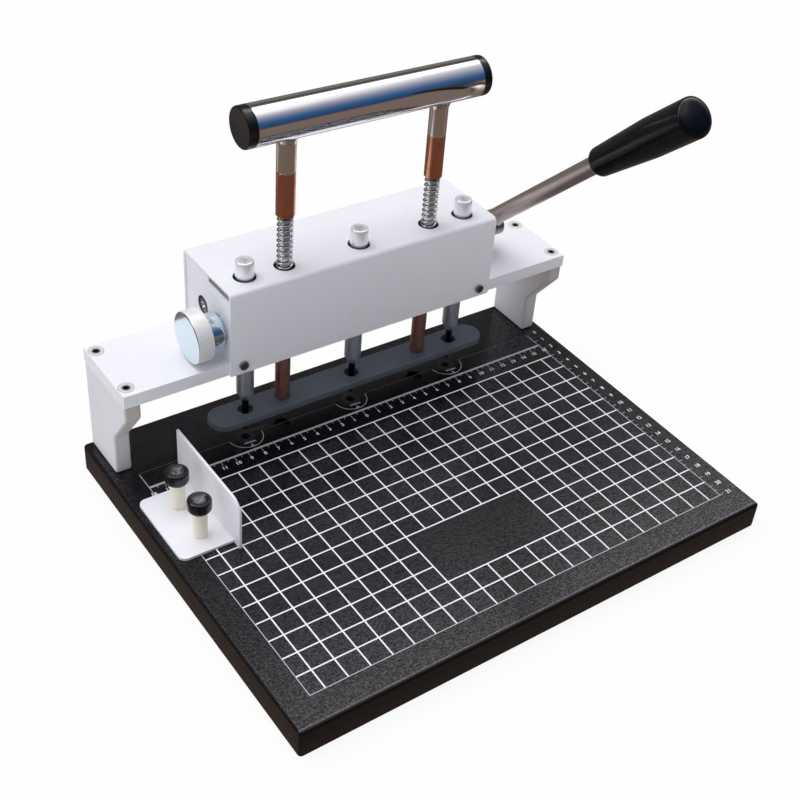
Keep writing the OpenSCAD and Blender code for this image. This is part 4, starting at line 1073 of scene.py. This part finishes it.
# %% Ease the guide
FOLD_X, FOOT_TOP = -138.0, 21.9
guide = merged_copy("side_guide")
fold = round_edges(guide, 1.2, 4, lambda m: abs(m.x - FOLD_X) < 0.05
                   and abs(m.z - FOOT_TOP) < 0.05)
upright = round_edges(guide, 0.4, 2, lambda m: m.z > FOOT_TOP + 0.05
                      and m.x > FOLD_X - 0.05)
print("guide fold:", fold, "guide edges:", upright)
add_piece("guide_plate", guide, white_paint, "guide", ["side_guide"])

# %% [markdown]
# ## The thumb screws
# Two thumb screws clamp the guide's foot: cream nylon stems under black caps. A cap has a
# rounded shoulder and a dished top, and its outline runs down into the dish.

# %% Turn the thumb screws
STEM_TOP, STEM_R, STEM_BORE, THUMB_TOP, THUMB_R = 41.9, 4.65, 2.6, 50.9, 7.5
DISH = ((5.3, 0.05), (4.6, 0.4), (3.5, 0.95), (2.2, 1.4), (1.1, 1.6), (0, 1.65))
thumb_outline = ([(0, STEM_TOP), (5.6, STEM_TOP), (6.6, STEM_TOP + 0.5),
                  (THUMB_R, STEM_TOP + 2.2)]
                 + arc(THUMB_R - 1.6, THUMB_TOP - 1.6, 1.6, 0, 90, 6)
                 + [(radius, THUMB_TOP - depth) for radius, depth in DISH])
stem_outline = [(STEM_BORE, FOOT_TOP), (4.4, FOOT_TOP), (STEM_R, FOOT_TOP + 0.4),
                (STEM_R, STEM_TOP), (STEM_BORE, STEM_TOP), (STEM_BORE, FOOT_TOP)]
for y, end in ((THUMB_FRONT, "front"), (THUMB_REAR, "rear")):
    add_piece(end + "_screw_cap", placed(turned(thumb_outline), THUMB_X, y, 0), cap_plastic,
              end + "_thumb", [end + "_thumb_cap"])
    add_piece(end + "_screw_stem", placed(turned(stem_outline), THUMB_X, y, 0), cream_nylon,
              end + "_thumb", [end + "_thumb_stem"])

# %% [markdown]
# ## What the mirrors see
# The machine was photographed in a white tent, and metal shows what it mirrors, so glossy
# rays get a room of their own. The chromed bar is a round mirror, and reading its bands
# from top to bottom gives that room: white overhead, steel blue down to the horizon in
# front, and a warm grey behind and below. In front a colour ramp runs over height. The
# board mirrors what lies behind, and its sheen keeps to one slope above the machine's
# back whatever the side, so the ramp there runs over that slope and not over height.

# %% A room for the mirrors
world = bpy.data.worlds.new("studio")
bpy.context.scene.world = world
world.use_nodes = True
world.node_tree.nodes.clear()
room = Graph(world.node_tree)
where = room.node("ShaderNodeTexCoord", {}, {}, "Generated")
depth, height = room.axis(where, 1), room.axis(where, 2)
up = height * 0.5 + 0.5
rise = height.between(0.0, 1.0)
slope = rise / (rise + depth.absolute() + 0.001)
FRONT = ((0.0, paint(124, 101, 89)), (0.46, paint(108, 95, 92)), (0.52, paint(46, 60, 88)),
         (0.595, paint(38, 69, 109)), (0.71, paint(55, 87, 128)),
         (0.775, paint(86, 108, 145)), (0.855, paint(138, 141, 156)),
         (0.905, paint(184, 183, 191)), (0.93, paint(228, 227, 233)),
         (0.945, paint(255, 255, 255)))
BEHIND = ((0.0, paint(112, 106, 102)), (0.217, paint(119, 115, 112)),
          (0.45, paint(70, 66, 63)), (0.5, paint(72, 68, 68)), (0.55, paint(112, 109, 110)),
          (0.6, paint(222, 220, 222)), (0.64, paint(255, 255, 255)))
mirrored = room.blend(
    depth.between(-0.1, 0.2), room.ramp(up, FRONT), room.ramp(slope, BEHIND))
print("bands in front and behind:", len(FRONT), len(BEHIND))

# %% [markdown]
# ## Light
# Soft light comes from all round, and a wide lamp behind and to the left whitens the tops.
# Matt surfaces get a plain sky that leans, brighter above, behind and left, and that lamp.
# Mirrors don't see the lamp itself. Its image is a band of the room's rear slope that is
# four times as bright as the rest, because white alone would give no sharp highlight. The
# camera sees plain white.

# %% Light the studio
SOFT, MIRROR, GLOW = 0.5, 1.12, 3.0


def ray_kinds(graph):
    """Whether a ray comes from the camera, and whether it is a glossy one."""
    from_camera = graph.node("ShaderNodeLightPath", {}, {}, "Is Camera Ray")
    return from_camera, Value(graph, from_camera.socket.node.outputs["Is Glossy Ray"])


camera_ray, glossy_ray = ray_kinds(room)
lean = room.axis(where, 0) * -0.4 + depth * 0.45 + height * 0.35 + 1.0
glow = slope.between(0.6, 0.67) * (1.0 - up.between(0.95, 0.97)) * depth.between(0.1, 0.3)
soft = room.node("ShaderNodeBackground", {}, {
    "Color": (0.97, 0.98, 1.03, 1), "Strength": lean * SOFT})
mirror = room.node("ShaderNodeBackground", {}, {
    "Color": mirrored, "Strength": MIRROR + MIRROR * GLOW * glow})
white = room.node("ShaderNodeBackground", {}, {"Color": (1, 1, 1, 1)})
lit = room.node("ShaderNodeMixShader", {}, {0: glossy_ray, 1: soft, 2: mirror})
shown = room.node("ShaderNodeMixShader", {}, {0: camera_ray, 1: lit, 2: white})
room.node("ShaderNodeOutputWorld", {}, {"Surface": shown}, None)
sun = bpy.data.lights.new("lamp", "SUN")
sun.energy = 1.6
sun.angle = radians(50)
lamp = bpy.data.objects.new("lamp", sun)
lamp.rotation_euler = Vector((-0.14, 0.24, 0.96)).to_track_quat("Z", "Y").to_euler()
lamp.visible_glossy = False
bpy.context.scene.collection.objects.link(lamp)
bpy.context.scene.view_settings.view_transform = "Standard"
print("soft light", SOFT, "lamp", round(sun.energy, 2))

# %% [markdown]
# ## The floor
# A white sheet under the machine takes its soft shadow. The camera sees mostly its own
# white, so it melts into the background. Diffuse light bounces off plain white card, and
# mirrors see the warm grey that the lowest band of the bar shows. Only a small patch on
# the left behind the machine is bright to them: the lever's grip mirrors it, and it gives
# the spot of light under the grip.

# %% Lay the floor
FLOOR_Z, SPOT, SPOT_X, SPOT_Y = -0.3, 6.0, -0.31, 0.35
bm = bmesh.new()
bmesh.ops.create_grid(bm, x_segments=1, y_segments=1, size=4.0)
bmesh.ops.translate(bm, verts=bm.verts, vec=(0, 0, FLOOR_Z * MM))
sheet_mesh = bpy.data.meshes.new("floor")
bm.to_mesh(sheet_mesh)
bm.free()
floor = bpy.data.objects.new("floor", sheet_mesh)
bpy.context.scene.collection.objects.link(floor)
card = Finish("floor_card", Base_Color=(0.9, 0.9, 0.9, 1), Roughness=0.9)
from_spot = (card.at(0) - SPOT_X).reach(card.at(1) - SPOT_Y)
patch = 1.0 - from_spot.between(0.02, 0.065)
warm_grey = card.blend(
    card.at(1).between(-0.1, 0.3), paint(112, 97, 89), paint(112, 106, 102))
in_mirrors = card.node("ShaderNodeEmission", {}, {
    "Color": warm_grey, "Strength": MIRROR + MIRROR * SPOT * patch})
bright = card.node("ShaderNodeEmission", {}, {"Strength": 1.0})
camera_ray, glossy_ray = ray_kinds(card)
matt = Value(card, card.shader.outputs[0])
near = card.node("ShaderNodeMixShader", {}, {0: glossy_ray, 1: matt, 2: in_mirrors})
mixed = card.node("ShaderNodeMixShader", {}, {0: camera_ray * 0.9, 1: near, 2: bright})
card.link(mixed, card.tree.nodes["Material Output"].inputs["Surface"])
sheet_mesh.materials.append(card.material)
floor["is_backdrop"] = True
print("floor laid at", FLOOR_Z, "mm")

# %% [markdown]
# ## Finish
# The last cell measures the shown machine, so that it can be set against the imported one.

# %% Measure the shown machine
print("size in mm at the end:", save_size())
